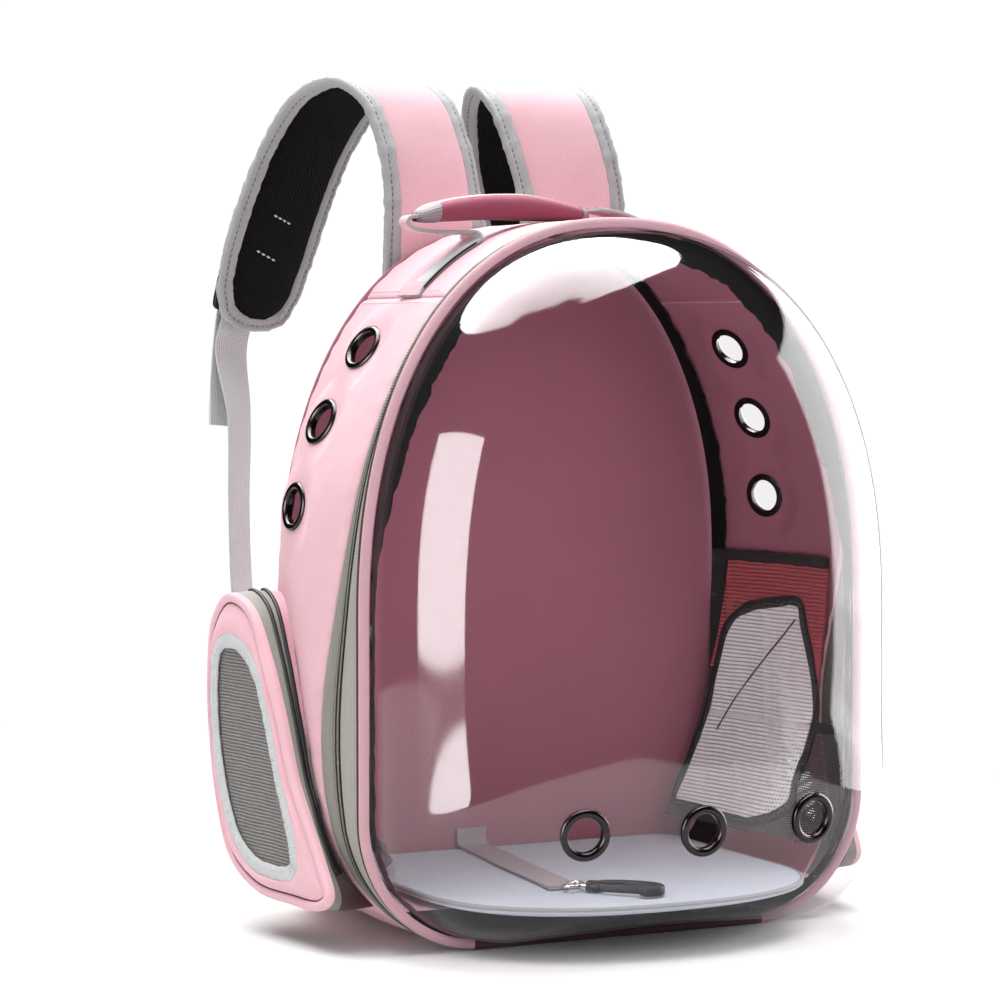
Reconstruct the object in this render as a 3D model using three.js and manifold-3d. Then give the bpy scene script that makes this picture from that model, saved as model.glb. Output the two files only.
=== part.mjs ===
// Pet carrier backpack with a clear bubble window: an arched cloth body, a zipped dome with vent
// eyelets, two side pockets, padded shoulder straps, a top handle, and a mat with a tether inside.
// Millimetres, +Z up. The dome faces -Y. The origin is the middle of the base's underside.
import * as THREE from "three";
import { mergeVertices } from "three/addons/utils/BufferGeometryUtils.js";
import Module from "manifold-3d";

const wasm = await Module();
wasm.setup();

// Driving dimensions
const HEIGHT = 420; // floor to the top of the arch
const WIDEST_Z = 190; // height where the arch springs from the upright sides
const FRAME_HALF_WIDTH = 166; // at the dome's frame
const BACK_HALF_WIDTH = 152; // at the back panel
const FRAME_Y = -82.5; // plane of the dome's frame
const BACK_FOOT_Y = 85; // outside of the back panel at the floor
const BACK_LEAN = 0.055; // how much the back panel leans forwards for each unit of height
const DOME_DEPTH = 101; // how far the bubble stands out of its frame
const FRAME_CORNER = 77; // bottom corner radius at the frame
const BACK_CORNER = 60; // bottom corner radius at the back
const ARCH_POWER = 0.88; // below 1 the arch is fuller than an ellipse
const WALL = 3; // padded cloth walls
const BACK_PAD = 6; // padded back panel
const TAPE = 1.6; // webbing and zip tape
const GAP = 0.3; // clearance between pieces that meet
const BASE_HEIGHT = 24.7; // stiff padded base
const MAT = { top: 32, thickness: 7, halfWidth: 120, rear: 74, shoulder: -64, front: -158, power: 2.3 };
const MAT_UNDERCUT = 11; // how much its underside draws in, to clear the bubble's round bottom
const PIPING = { radius: 3, inset: 2.2, sides: 6 };
const SKIRT_Z = 1; // lowest line of the cloth walls, just clear of the floor

// Side walls bulge most half way back, fading out towards the floor and the shoulders
const BULGE = { depth: 10, floorZ: 0, fullZ: 90, fadeZ: 250, shoulderZ: 350 };

// Main zip: a lens-shaped band round the arch, widest low on the sides
const ZIP = { narrow: 7, wide: 44, widestZ: 119, spread: 90, coilNarrow: 3.2, coilWide: 8, frontShare: 0.55 };

// Bubble: superellipse meridians, boxier along the bottom, where they also ramp up from the floor
const DOME = {
  wall: 1.5,
  inset: 5.6, // of its rim in the frame
  apexZ: 200,
  power: 2.5,
  bottomPower: 6,
  bottomFocus: 6, // how fast a meridian turns boxier towards straight down
  bottomLift: 16,
  eyeletStandoff: 1.2,
};

// Vent eyelets: one spool-shaped ring through a wall, with a flange on each side
const EYELET = {
  hole: 9.3,
  lip: 9.8, // radius where the hole's edge rolls over
  barrel: 10.2,
  flange: 15.6,
  bevel: 1.1,
  rise: 1.6,
  washer: 14.4,
  washerDepth: 1,
  seat: 0.2, // extra room under the washer
  standoff: 1.5, // off the true surface, to clear its facets
  sides: 12,
};
const SIDE_VENTS = [
  { z: 345, y: 3 },
  { z: 300, y: 13 },
  { z: 250, y: 21 },
];
const DOME_VENTS = [
  { x: -73, z: 78 },
  { x: 0, z: 76 },
  { x: 73, z: 78 },
];

// Loop positions round the arch outline, from the middle of its bottom edge (0) round by +X (to 1)
const SHARE = { bottom: 0.07, corner: 0.09, side: 0.09, arch: 0.25 };
const STATIONS = 40; // steps along corner, side, arch, side and corner
const TOP_SEAM = 15; // station of the seam between a side panel and the top panel
const MESH_STATIONS = { from: 3, to: 9 };
const BINDING_FROM = 3; // the inner bindings start above the base
const BOTTOM_STEPS = 4;
const SIDE_ROWS = 3; // steps of a side wall from its zip to the back

// Colours of the pieces
const PINK = 0xeaa0b4;
const GREY = 0x9d9c95;
const LIGHT_GREY = 0xc9c8c6;
const BLACK = 0x1d1b1d;
const GUNMETAL = 0x3a3638;
const CLEAR = 0xd9d3d6;
const PALE = 0xe6e4e8;

// Finishes
const CLOTH = { roughness: 0.85, metalness: 0 };
const TEETH = { roughness: 0.6, metalness: 0 };
const PLASTIC = { roughness: 0.4, metalness: 0 };
const GLOSS = { roughness: 0.08, metalness: 0 };
const METAL = { roughness: 0.3, metalness: 1 };

const lerp = THREE.MathUtils.lerp;
const smoothstep = THREE.MathUtils.smoothstep;
const vec = (x, y, z) => new THREE.Vector3(x, y, z);
const range = (count) => Array.from({ length: count }, (_, index) => index);

// Closed meshes

// Merges shared vertices, drops collapsed triangles and turns the faces outwards.
function closed(points, triangles) {
  const raw = new THREE.BufferGeometry();
  raw.setAttribute("position", new THREE.Float32BufferAttribute(points.flatMap((p) => p.toArray()), 3));
  raw.setIndex(triangles);
  const merged = mergeVertices(raw, 1e-3);
  const index = merged.index.array;
  const position = merged.attributes.position;
  const corner = (vertex) => vec().fromBufferAttribute(position, vertex);
  const kept = [];
  let volume = 0;
  for (let i = 0; i < index.length; i += 3) {
    const [a, b, c] = [index[i], index[i + 1], index[i + 2]];
    if (a === b || b === c || c === a) continue;
    kept.push(a, b, c);
    volume += corner(a).dot(corner(b).cross(corner(c)));
  }
  merged.setIndex(volume < 0 ? kept.reverse() : kept);
  return merged;
}

// A solid between two grids of points, rows by columns. With loop, the last row joins the first.
// A last column that shrinks to one point closes as a pole.
function solidBetween(outer, inner, loop = false) {
  const rows = outer.length;
  const columns = outer[0].length;
  const at = (side, row, column) => (side * rows + (row % rows)) * columns + column;
  const triangles = [];
  const quad = (a, b, c, d) => triangles.push(a, b, c, a, c, d);
  const spans = loop ? rows : rows - 1;
  const last = columns - 1;
  for (let row = 0; row < spans; row++) {
    for (let column = 0; column < last; column++) {
      quad(at(0, row, column), at(0, row, column + 1), at(0, row + 1, column + 1), at(0, row + 1, column));
      quad(at(1, row, column), at(1, row + 1, column), at(1, row + 1, column + 1), at(1, row, column + 1));
    }
    quad(at(0, row, 0), at(0, row + 1, 0), at(1, row + 1, 0), at(1, row, 0));
    quad(at(0, row, last), at(1, row, last), at(1, row + 1, last), at(0, row + 1, last));
  }
  if (!loop) {
    for (let column = 0; column < last; column++) {
      quad(at(0, 0, column), at(1, 0, column), at(1, 0, column + 1), at(0, 0, column + 1));
      const end = rows - 1;
      quad(at(0, end, column), at(0, end, column + 1), at(1, end, column + 1), at(1, end, column));
    }
  }
  return closed([...outer.flat(), ...inner.flat()], triangles);
}

// A solid through a row of closed rings with equal point counts. Its ends are capped, or with loop
// they join.
function loft(rings, loop = false) {
  const count = rings[0].length;
  const at = (ring, point) => (ring % rings.length) * count + (point % count);
  const triangles = [];
  const spans = loop ? rings.length : rings.length - 1;
  for (let ring = 0; ring < spans; ring++) {
    for (let point = 0; point < count; point++) {
      triangles.push(at(ring, point), at(ring, point + 1), at(ring + 1, point + 1));
      triangles.push(at(ring, point), at(ring + 1, point + 1), at(ring + 1, point));
    }
  }
  if (!loop) {
    const end = rings.length - 1;
    for (let point = 1; point < count - 1; point++) {
      triangles.push(at(0, 0), at(0, point + 1), at(0, point));
      triangles.push(at(end, 0), at(end, point), at(end, point + 1));
    }
  }
  return closed(rings.flat(), triangles);
}

// A flat strip of the given thickness: its centre line and, at each point, its width direction.
function ribbon(points, directions, width, thickness) {
  const face = (side) =>
    points.map((point, i) => {
      const ahead = points[Math.min(i + 1, points.length - 1)];
      const behind = points[Math.max(i - 1, 0)];
      const along = ahead.clone().sub(behind).normalize();
      const across = directions[i].clone().addScaledVector(along, -directions[i].dot(along)).normalize();
      const normal = along.cross(across).multiplyScalar((side * thickness) / 2);
      return [-width / 2, width / 2].map((w) => point.clone().addScaledVector(across, w).add(normal));
    });
  return solidBetween(face(1), face(-1));
}

function toManifold(geometry) {
  const bare = new THREE.BufferGeometry();
  bare.setAttribute("position", geometry.attributes.position.clone());
  if (geometry.index) bare.setIndex(geometry.index.clone());
  const merged = mergeVertices(bare, 1e-3);
  const vertProperties = new Float32Array(merged.attributes.position.array);
  const triVerts = new Uint32Array(merged.index.array);
  return new wasm.Manifold(new wasm.Mesh({ numProp: 3, vertProperties, triVerts }));
}

function fromManifold(solid) {
  const mesh = solid.getMesh();
  const geometry = new THREE.BufferGeometry();
  geometry.setAttribute("position", new THREE.Float32BufferAttribute(mesh.vertProperties, 3));
  geometry.setIndex([...mesh.triVerts]);
  return geometry;
}

function cut(geometry, tools) {
  const solid = tools.reduce((rest, tool) => rest.subtract(toManifold(tool)), toManifold(geometry));
  return fromManifold(solid);
}

function join(geometries) {
  return fromManifold(geometries.map(toManifold).reduce((sum, solid) => sum.add(solid)));
}

function mirrored(geometry) {
  const points = range(geometry.attributes.position.count).map((i) =>
    vec().fromBufferAttribute(geometry.attributes.position, i).multiply(vec(-1, 1, 1)),
  );
  return closed(points, [...geometry.index.array]);
}

// Arch outline and body surface

// Outside of the back panel at height z.
const backAt = (z) => BACK_FOOT_Y - BACK_LEAN * z;

// Sizes of the body's cross-section at depth y and height z, blended from the dome frame to the back.
function sectionAt(y, z) {
  const share = THREE.MathUtils.clamp((y - FRAME_Y) / (backAt(z) - FRAME_Y), 0, 1);
  const rise = smoothstep(z, BULGE.floorZ, BULGE.fullZ) * (1 - smoothstep(z, BULGE.fadeZ, BULGE.shoulderZ));
  return {
    halfWidth: lerp(FRAME_HALF_WIDTH, BACK_HALF_WIDTH, share),
    corner: lerp(FRAME_CORNER, BACK_CORNER, share),
    bulge: BULGE.depth * 4 * share * (1 - share) * rise,
  };
}

// Outline point (x, z) at loop position a: flat bottom, round corner, upright side, superellipse arch.
function outlinePoint(a, { halfWidth, corner }) {
  const around = ((a % 1) + 1) % 1;
  const onLeft = around > 0.5;
  const along = onLeft ? 1 - around : around;
  const cornerEnd = SHARE.bottom + SHARE.corner;
  const sideEnd = cornerEnd + SHARE.side;
  const point = new THREE.Vector2();
  if (along < SHARE.bottom) {
    point.set(lerp(0, halfWidth - corner, along / SHARE.bottom), SKIRT_Z);
  } else if (along < cornerEnd) {
    const angle = ((along - SHARE.bottom) / SHARE.corner) * (Math.PI / 2);
    point.set(halfWidth - corner + corner * Math.sin(angle), SKIRT_Z + corner * (1 - Math.cos(angle)));
  } else if (along < sideEnd) {
    point.set(halfWidth, lerp(SKIRT_Z + corner, WIDEST_Z, (along - cornerEnd) / SHARE.side));
  } else {
    const angle = ((along - sideEnd) / SHARE.arch) * (Math.PI / 2);
    const rise = Math.sin(angle) ** ARCH_POWER;
    point.set(halfWidth * Math.max(Math.cos(angle), 0) ** ARCH_POWER, lerp(WIDEST_Z, HEIGHT, rise));
  }
  return onLeft ? point.set(-point.x, point.y) : point;
}

// Unit direction (x, z) out of the outline at loop position a.
function outwardAt(a, section) {
  const step = 0.002;
  const along = outlinePoint(a + step, section).sub(outlinePoint(a - step, section)).normalize();
  return new THREE.Vector2(along.y, -along.x);
}

// Height of the wall at loop position a, half way back.
const heightAt = (a) => outlinePoint(a, sectionAt(0, WIDEST_Z)).y;

// Body surface at loop position a and depth y, sunk inwards by inset.
function bodyPoint(a, y, inset = 0) {
  const section = sectionAt(y, heightAt(a));
  const point = outlinePoint(a, section).addScaledVector(outwardAt(a, section), section.bulge - inset);
  return vec(point.x, y, point.y);
}

const stationAt = (index) => lerp(SHARE.bottom, 1 - SHARE.bottom, index / STATIONS);
const stations = (from, to) => range(to - from + 1).map((i) => stationAt(from + i));
const fullLoop = [
  ...range(BOTTOM_STEPS).map((i) => lerp(-SHARE.bottom, SHARE.bottom, i / BOTTOM_STEPS)),
  ...stations(0, STATIONS - 1),
];

// A strip of the body's wall along the given loop positions. front and rear give the depth of its
// edges from the height of the wall there, and rows how many steps it has between them.
function bodyStrip(positions, front, rear, outerInset, innerInset, rows = 1) {
  const grid = (inset) =>
    positions.map((a) => {
      const [first, last] = [front(heightAt(a)), rear(heightAt(a))];
      return range(rows + 1).map((row) => bodyPoint(a, lerp(first, last, row / rows), inset));
    });
  return solidBetween(grid(outerInset), grid(innerInset));
}

// Half width of the body's outside at depth y and height z.
function bodyHalfWidth(y, z) {
  const { halfWidth, corner, bulge } = sectionAt(y, z);
  if (z < SKIRT_Z + corner) {
    return bulge + halfWidth - corner + Math.sqrt(corner ** 2 - (SKIRT_Z + corner - z) ** 2);
  }
  const rise = Math.max((z - WIDEST_Z) / (HEIGHT - WIDEST_Z), 0);
  return bulge + halfWidth * (1 - rise ** (2 / ARCH_POWER)) ** (ARCH_POWER / 2);
}

// Height of the body's top at depth y and distance x from the middle.
function bodyTop(x, y) {
  const reach = Math.abs(x) / sectionAt(y, HEIGHT).halfWidth;
  return lerp(WIDEST_Z, HEIGHT, (1 - reach ** (2 / ARCH_POWER)) ** (ARCH_POWER / 2));
}

// Main zip band

const zipBulge = (z) => Math.exp(-(((z - ZIP.widestZ) / ZIP.spread) ** 2));
const zipFront = () => FRAME_Y + PIPING.radius + GAP;
const zipRear = (z) => zipFront() + lerp(ZIP.narrow, ZIP.wide, zipBulge(z));
const coilWidth = (z) => lerp(ZIP.coilNarrow, ZIP.coilWide, zipBulge(z));
const coilFront = (z) => lerp(zipFront(), zipRear(z) - coilWidth(z), ZIP.frontShare);
const coilRear = (z) => coilFront(z) + coilWidth(z);
const panelRear = (z) => backAt(z) - BACK_PAD - GAP;

function zipPieces() {
  const all = stations(0, STATIONS);
  const recess = 0.4;
  const tape = (front, rear) => bodyStrip(all, front, rear, recess, recess + TAPE);
  return {
    zip_tape_front: tape(zipFront, (z) => coilFront(z) - GAP),
    zip_coil: bodyStrip(all, coilFront, coilRear, 0, recess + TAPE),
    zip_tape_rear: tape((z) => coilRear(z) + GAP, zipRear),
  };
}

// Cloth panels

function sidePanel(vents, pocketOpening) {
  const panel = bodyStrip(
    stations(STATIONS - TOP_SEAM, STATIONS),
    (z) => zipRear(z) + GAP,
    panelRear,
    0,
    WALL,
    SIDE_ROWS,
  );
  const bores = vents.map((frame) => eyeletBore(frame));
  return cut(panel, [...bores, pocketOpening]);
}

function topPanel() {
  const seam = 0.0003; // half the seam's gap, as a share of the loop
  const positions = stations(TOP_SEAM, STATIONS - TOP_SEAM);
  positions[0] += seam;
  positions[positions.length - 1] -= seam;
  return bodyStrip(positions, (z) => zipRear(z) + GAP, panelRear, 0, WALL);
}

function backPanel() {
  const face = (depth) =>
    fullLoop.map((a) => {
      const { x, y: z } = outlinePoint(a, { halfWidth: BACK_HALF_WIDTH, corner: BACK_CORNER });
      return vec(x, backAt(z) - depth, z);
    });
  return loft([face(0), face(BACK_PAD)]);
}

// The base: a flat keel on the floor whose sides follow the inside of the round bottom corners.
function basePanel() {
  const inset = WALL + 1.5;
  const sideSteps = 3;
  const ring = (y) => {
    const section = sectionAt(y, 0);
    const keel = section.halfWidth - section.corner - GAP;
    const radius = section.corner - inset;
    const centre = { x: section.halfWidth - section.corner, z: SKIRT_Z + section.corner };
    const topAngle = Math.acos((centre.z - BASE_HEIGHT) / radius);
    const side = range(sideSteps + 1).map((i) => {
      const angle = (topAngle * i) / sideSteps;
      return [Math.max(keel, centre.x + radius * Math.sin(angle)), centre.z - radius * Math.cos(angle)];
    });
    const right = [[keel, 0], ...side];
    const left = right.map(([x, z]) => [-x, z]).reverse();
    return [...right, ...left].map(([x, z]) => vec(x, y, z));
  };
  return loft([ring(zipFront()), ring(panelRear(BASE_HEIGHT))]);
}

function bindings() {
  const arch = stations(BINDING_FROM, STATIONS - BINDING_FROM);
  const frameWidth = 12;
  const backWidth = 14;
  const frameInset = WALL + GAP;
  const backInset = WALL + 1.4; // clear of the flat facets of the bulging wall
  const strip = (front, rear, inset) => bodyStrip(arch, front, rear, inset, inset + TAPE);
  const frameFront = zipFront() + GAP;
  return {
    frame_binding: strip(() => frameFront, () => frameFront + frameWidth, frameInset),
    back_binding: strip((z) => panelRear(z) - backWidth, panelRear, backInset),
  };
}

// Netting on the inside of a side wall, behind the pocket. It hangs off the wall, further towards the mat.
function sideMesh() {
  const behindZip = 6;
  const beforeBack = 16;
  const thickness = 1;
  const clear = WALL + 1;
  const slope = { top: 208, drop: 170, reach: 20 };
  const rows = 2;
  const face = (depth) =>
    stations(STATIONS - MESH_STATIONS.to, STATIONS - MESH_STATIONS.from).map((a) => {
      const z = heightAt(a);
      const [first, last] = [zipRear(z) + behindZip, panelRear(z) - beforeBack];
      const hang = slope.reach * Math.max((slope.top - z) / slope.drop, 0) ** 1.5;
      return range(rows + 1).map((row) => bodyPoint(a, lerp(first, last, row / rows), clear + hang + depth));
    });
  return solidBetween(face(0), face(thickness));
}

// Dome

// How much the meridian that starts at a rim point belongs to the bottom: 1 straight down, 0 sideways.
function bottomness(rim) {
  const down = Math.max(DOME.apexZ - rim.z, 0);
  return (down / Math.hypot(rim.x, DOME.apexZ - rim.z)) ** DOME.bottomFocus;
}

// Bubble surface at loop position a and meridian angle t, 0 at the frame and a quarter turn at the apex.
// Width and depth along a meridian follow |w|^n + |d|^n = 1.
function domePoint(a, t, inset, depth) {
  const rim = bodyPoint(a, FRAME_Y, inset);
  const low = bottomness(rim);
  const power = 2 / lerp(DOME.power, DOME.bottomPower, low);
  const width = Math.max(Math.cos(t), 0) ** power;
  const forward = Math.sin(t) ** power;
  const rimZ = rim.z + DOME.bottomLift * low * forward;
  return vec(rim.x * width, FRAME_Y - depth * forward, lerp(DOME.apexZ, rimZ, width));
}

// Frame on the bubble's outside at (x, z): found by walking the loop and the meridian to the nearest point.
function domeFrame({ x, z }) {
  const point = (a, t) => domePoint(a, t, DOME.inset, DOME_DEPTH);
  const miss = ({ a, t }) => Math.hypot(point(a, t).x - x, point(a, t).z - z);
  const moves = range(24).map((i) => ({ side: (i % 3) - 1, along: (Math.floor(i / 3) % 3) - 1 }));
  const meridianPace = 4; // the meridian angle moves faster than the loop position
  const [lowest, highest] = [0.1, 1.56];
  let best = { a: x < 0 ? 0.95 : 0.05, t: 1.2 };
  for (let step = 0.05; step > 1e-5; step *= 0.7) {
    for (const { side, along } of moves) {
      const t = THREE.MathUtils.clamp(best.t + along * step * meridianPace, lowest, highest);
      const tried = { a: best.a + side * step, t };
      if (miss(tried) < miss(best)) best = tried;
    }
  }
  const step = 0.01;
  const origin = point(best.a, best.t);
  const round = point(best.a + step, best.t).sub(point(best.a - step, best.t));
  const rise = point(best.a, best.t + step).sub(point(best.a, best.t - step));
  const normal = round.cross(rise).normalize();
  return { origin, normal: normal.y > 0 ? normal.negate() : normal };
}

function bubble(vents) {
  const columns = 8;
  const grid = (inset, depth) =>
    fullLoop.map((a) =>
      range(columns + 1).map((i) => domePoint(a, (i / columns) * (Math.PI / 2), inset, depth)),
    );
  const shell = solidBetween(
    grid(DOME.inset, DOME_DEPTH),
    grid(DOME.inset + DOME.wall, DOME_DEPTH - DOME.wall),
    true,
  );
  return cut(shell, vents.map((frame) => eyeletBore(frame)));
}

function domePiping() {
  const rings = fullLoop.map((a) => {
    const centre = bodyPoint(a, FRAME_Y, PIPING.inset);
    const outward = outwardAt(a, sectionAt(FRAME_Y, WIDEST_Z));
    return range(PIPING.sides).map((i) => {
      const angle = ((i + 0.5) / PIPING.sides) * 2 * Math.PI;
      const across = PIPING.radius * Math.cos(angle);
      const offset = vec(outward.x * across, PIPING.radius * Math.sin(angle), outward.y * across);
      return centre.clone().add(offset);
    });
  });
  return loft(rings, true);
}

// Eyelets

// Frame on the left side wall's outside at height z and depth y.
function sideFrame({ z, y }) {
  const rise = ((z - WIDEST_Z) / (HEIGHT - WIDEST_Z)) ** (1 / ARCH_POWER);
  const a = 1 - (SHARE.bottom + SHARE.corner + SHARE.side + (Math.asin(rise) / (Math.PI / 2)) * SHARE.arch);
  const step = 0.01;
  const round = bodyPoint(a + step, y).sub(bodyPoint(a - step, y));
  const back = bodyPoint(a, y + 1).sub(bodyPoint(a, y - 1));
  return { origin: bodyPoint(a, y), normal: back.cross(round).normalize() };
}

// Turns a shape that stands on +Z so that it stands on a frame's normal.
function placed(geometry, { origin, normal }) {
  const turn = new THREE.Quaternion().setFromUnitVectors(vec(0, 0, 1), normal);
  return geometry.applyQuaternion(turn).translate(origin.x, origin.y, origin.z);
}

function eyeletBore(frame) {
  const length = 40;
  const bore = new THREE.CylinderGeometry(EYELET.barrel + GAP, EYELET.barrel + GAP, length, EYELET.sides);
  return placed(bore.rotateX(Math.PI / 2), frame);
}

function eyelet(frame, wall, standoff = EYELET.standoff) {
  const washerTop = -wall - standoff - EYELET.seat;
  const washerBottom = washerTop - EYELET.washerDepth;
  const profile = [
    [EYELET.hole, washerBottom],
    [EYELET.washer, washerBottom],
    [EYELET.washer, washerTop],
    [EYELET.barrel, washerTop],
    [EYELET.barrel, standoff],
    [EYELET.flange, standoff],
    [EYELET.flange - EYELET.bevel, standoff + EYELET.rise],
    [EYELET.lip, standoff + EYELET.rise],
  ];
  const rings = range(EYELET.sides).map((i) => {
    const angle = (i / EYELET.sides) * 2 * Math.PI;
    return profile.map(([radius, height]) => vec(radius * Math.cos(angle), radius * Math.sin(angle), height));
  });
  return placed(loft(rings, true), frame);
}

// Mat, tether and snap hook

// Plan outline: straight rear and sides, then a rounded front that fills the bubble. Its underside is
// drawn in.
function floorMat() {
  const frontSteps = 12;
  const rearCorner = 14;
  const power = 2 / MAT.power;
  const ring = (z, draw) => {
    const half = MAT.halfWidth - draw / 2;
    const front = range(frontSteps + 1).map((i) => {
      const angle = (i / frontSteps) * Math.PI;
      const across = Math.sign(Math.cos(angle)) * Math.abs(Math.cos(angle)) ** power;
      const forward = Math.max(Math.sin(angle), 0) ** power;
      return vec(-half * across, lerp(MAT.shoulder, MAT.front + draw, forward), z);
    });
    const rear = [
      vec(half, MAT.rear - rearCorner, z),
      vec(half - rearCorner, MAT.rear, z),
      vec(rearCorner - half, MAT.rear, z),
      vec(-half, MAT.rear - rearCorner, z),
    ];
    return [...front, ...rear];
  };
  return loft([ring(MAT.top - MAT.thickness, MAT_UNDERCUT), ring(MAT.top, 0)]);
}

const TETHER = { width: 20, rearX: -20, climb: 12, eye: -4.4 };
const HOOK = { x: -37, y: -93, heading: -49, bar: 5, thickness: 6, collar: 11.2 };
const SWIVEL = { wire: 2.4, stem: 3.84, halfLoop: 8 };
const GATE = { width: 2.6, thickness: 4.8 };
const BAR_STEPS = { straight: 2, gate: 4, hook: 18, loop: 21 };
const HOOK_Z = MAT.top + GAP + HOOK.thickness / 2;

// Point of the lying snap hook: along from its swivel eye to its nose, side to its left.
function hookPoint(along, side, height = 0) {
  const heading = THREE.MathUtils.degToRad(HOOK.heading);
  const x = HOOK.x + along * Math.cos(heading) - side * Math.sin(heading);
  const y = HOOK.y + along * Math.sin(heading) + side * Math.cos(heading);
  return vec(x, y, HOOK_Z + height);
}

function smoothPath(points, steps) {
  return new THREE.CatmullRomCurve3(points, false, "centripetal").getPoints(steps);
}

// Webbing sewn up the back panel, bent on to the mat and lying there as far as the swivel eye.
function tetherStrap() {
  const matTop = MAT.top + GAP + TAPE / 2;
  const backFace = panelRear(MAT.top + TETHER.climb) - TAPE / 2;
  const bend = 6;
  const bendSteps = 4;
  const lying = [
    { x: TETHER.rearX - 3, y: 40 },
    { x: TETHER.rearX - 9, y: 0 },
    { x: TETHER.rearX - 14, y: -45 },
    { x: hookPoint(TETHER.eye, 0).x, y: hookPoint(TETHER.eye, 0).y },
  ];
  const points = [
    vec(TETHER.rearX, backFace, MAT.top + TETHER.climb),
    ...range(bendSteps + 1).map((i) => {
      const angle = (i / bendSteps) * (Math.PI / 2);
      const y = backFace - bend + bend * Math.cos(angle);
      return vec(TETHER.rearX, y, matTop + bend - bend * Math.sin(angle));
    }),
    ...lying.map(({ x, y }) => vec(x, y, matTop)),
  ];
  return ribbon(points, points.map(() => vec(1, 0, 0)), TETHER.width, TAPE);
}

// A bar of rectangular section along points of the lying hook.
function hookBar(table, width, thickness, steps) {
  const points = smoothPath(table.map(({ along, side }) => hookPoint(along, side)), steps);
  return ribbon(points, points.map(() => vec(0, 0, 1)), thickness, width);
}

// Wire loop that the tether is sewn to, with a stem into the hook's collar.
function hookSwivel() {
  const { wire, stem, halfLoop } = SWIVEL;
  const loopRows = [
    { along: 5, side: 1.5 },
    { along: 3.5, side: halfLoop - 1 },
    { along: 0, side: halfLoop },
    { along: -2, side: halfLoop - 2 },
    { along: -2, side: 2 - halfLoop },
    { along: 0, side: -halfLoop },
    { along: 3.5, side: 1 - halfLoop },
    { along: 5, side: -1.5 },
  ];
  const stemRows = [
    { along: 4, side: 0 },
    { along: 7, side: 0 },
    { along: 10, side: 0 },
  ];
  return join([
    hookBar(loopRows, wire, wire, BAR_STEPS.loop),
    hookBar(stemRows, stem, wire, BAR_STEPS.straight),
  ]);
}

// Collar, spine and round nose in one bar, open on the side that the gate closes.
function snapHook() {
  const rows = [
    { along: 15, side: 2.5 },
    { along: 20, side: 6 },
    { along: 30, side: 9 },
    { along: 42, side: 9.5 },
    { along: 51, side: 6.5 },
    { along: 54, side: 0 },
    { along: 50, side: -6 },
    { along: 44.5, side: -7.5 },
  ];
  const collarRows = [
    { along: 10.4, side: 0 },
    { along: 14, side: 0 },
    { along: 18, side: 0 },
  ];
  const collar = hookBar(collarRows, HOOK.collar, HOOK.thickness, BAR_STEPS.straight);
  return join([collar, hookBar(rows, HOOK.bar, HOOK.thickness, BAR_STEPS.hook)]);
}

// Sprung gate: a straight bar from its pivot by the collar to the inside of the nose's tip.
function hookGate() {
  const rows = [
    { along: 18.5, side: -4 },
    { along: 31, side: -4 },
    { along: 47.5, side: -2.6 },
  ];
  return hookBar(rows, GATE.width, GATE.thickness, BAR_STEPS.gate);
}

// Side pockets

// Outlines of the left pocket's face and of its window, in depth y and height z, from the top round
// by the rear
const POCKET_OUTLINE = [
  { y: 54, z: 199 },
  { y: 72, z: 183 },
  { y: 78, z: 150 },
  { y: 76, z: 112 },
  { y: 68, z: 74 },
  { y: 52, z: 42 },
  { y: 20, z: 26 },
  { y: -22, z: 23.5 },
  { y: -55, z: 25 },
  { y: -66, z: 34 },
  { y: -57, z: 52 },
  { y: -42, z: 74 },
  { y: -27, z: 97 },
  { y: -13, z: 130 },
  { y: 4, z: 164 },
  { y: 26, z: 193 },
];
const WINDOW_OUTLINE = [
  { y: 52, z: 175 },
  { y: 64.5, z: 167 },
  { y: 69.5, z: 145 },
  { y: 66.5, z: 109 },
  { y: 57, z: 78 },
  { y: 42, z: 53 },
  { y: 20, z: 39.5 },
  { y: -9, z: 36.5 },
  { y: -28, z: 39.5 },
  { y: -34, z: 47 },
  { y: -32, z: 60 },
  { y: -24.5, z: 79 },
  { y: -14, z: 102 },
  { y: -2, z: 133 },
  { y: 11, z: 158 },
  { y: 31, z: 173 },
];
const POCKET = {
  frontX: 177,
  frontY: -70,
  splay: 0.12, // how much the face stands further out for each unit of depth
  thickness: 2,
  crown: 3,
  clearZip: 5,
  clearWall: 2,
  zipFrom: 0.6, // share of the outline where its zip starts
  zipPair: [0.4, 0.68], // edges of the zip between the face and the wall
  zipRise: 1.6,
  zipThickness: 1.2,
};
const WINDOW = { bindingWidth: 8, bindingThickness: 1.4, meshInset: 4, meshThickness: 0.9 };
const POCKET_STEPS = 26;

// Closed smooth outline with its outward directions, as { y, z, ny, nz } rows.
function smoothOutline(table) {
  const curve = new THREE.CatmullRomCurve3(table.map(({ y, z }) => vec(0, y, z)), true);
  return range(POCKET_STEPS).map((i) => {
    const point = curve.getPoint(i / POCKET_STEPS);
    const along = curve.getTangent(i / POCKET_STEPS);
    return { y: point.y, z: point.z, ny: along.z * -1, nz: along.y };
  });
}

const grown = (rows, by) => rows.map(({ y, z, ny, nz }) => ({ y: y + ny * by, z: z + nz * by, ny, nz }));
const pocketEdge = smoothOutline(POCKET_OUTLINE);
const windowEdge = smoothOutline(WINDOW_OUTLINE);

// Point of the pocket's slanted face, lifted outwards.
function facePoint({ y, z }, lift) {
  return vec(-(POCKET.frontX + POCKET.splay * (y - POCKET.frontY)) - lift, y, z);
}

// A flat ring in the face between two outlines, each lifted by its own amount.
function faceRing(outer, outerLift, inner, innerLift, thickness) {
  const side = (down) =>
    outer.map((row, i) => [facePoint(row, outerLift - down), facePoint(inner[i], innerLift - down)]);
  return solidBetween(side(0), side(thickness), true);
}

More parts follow.
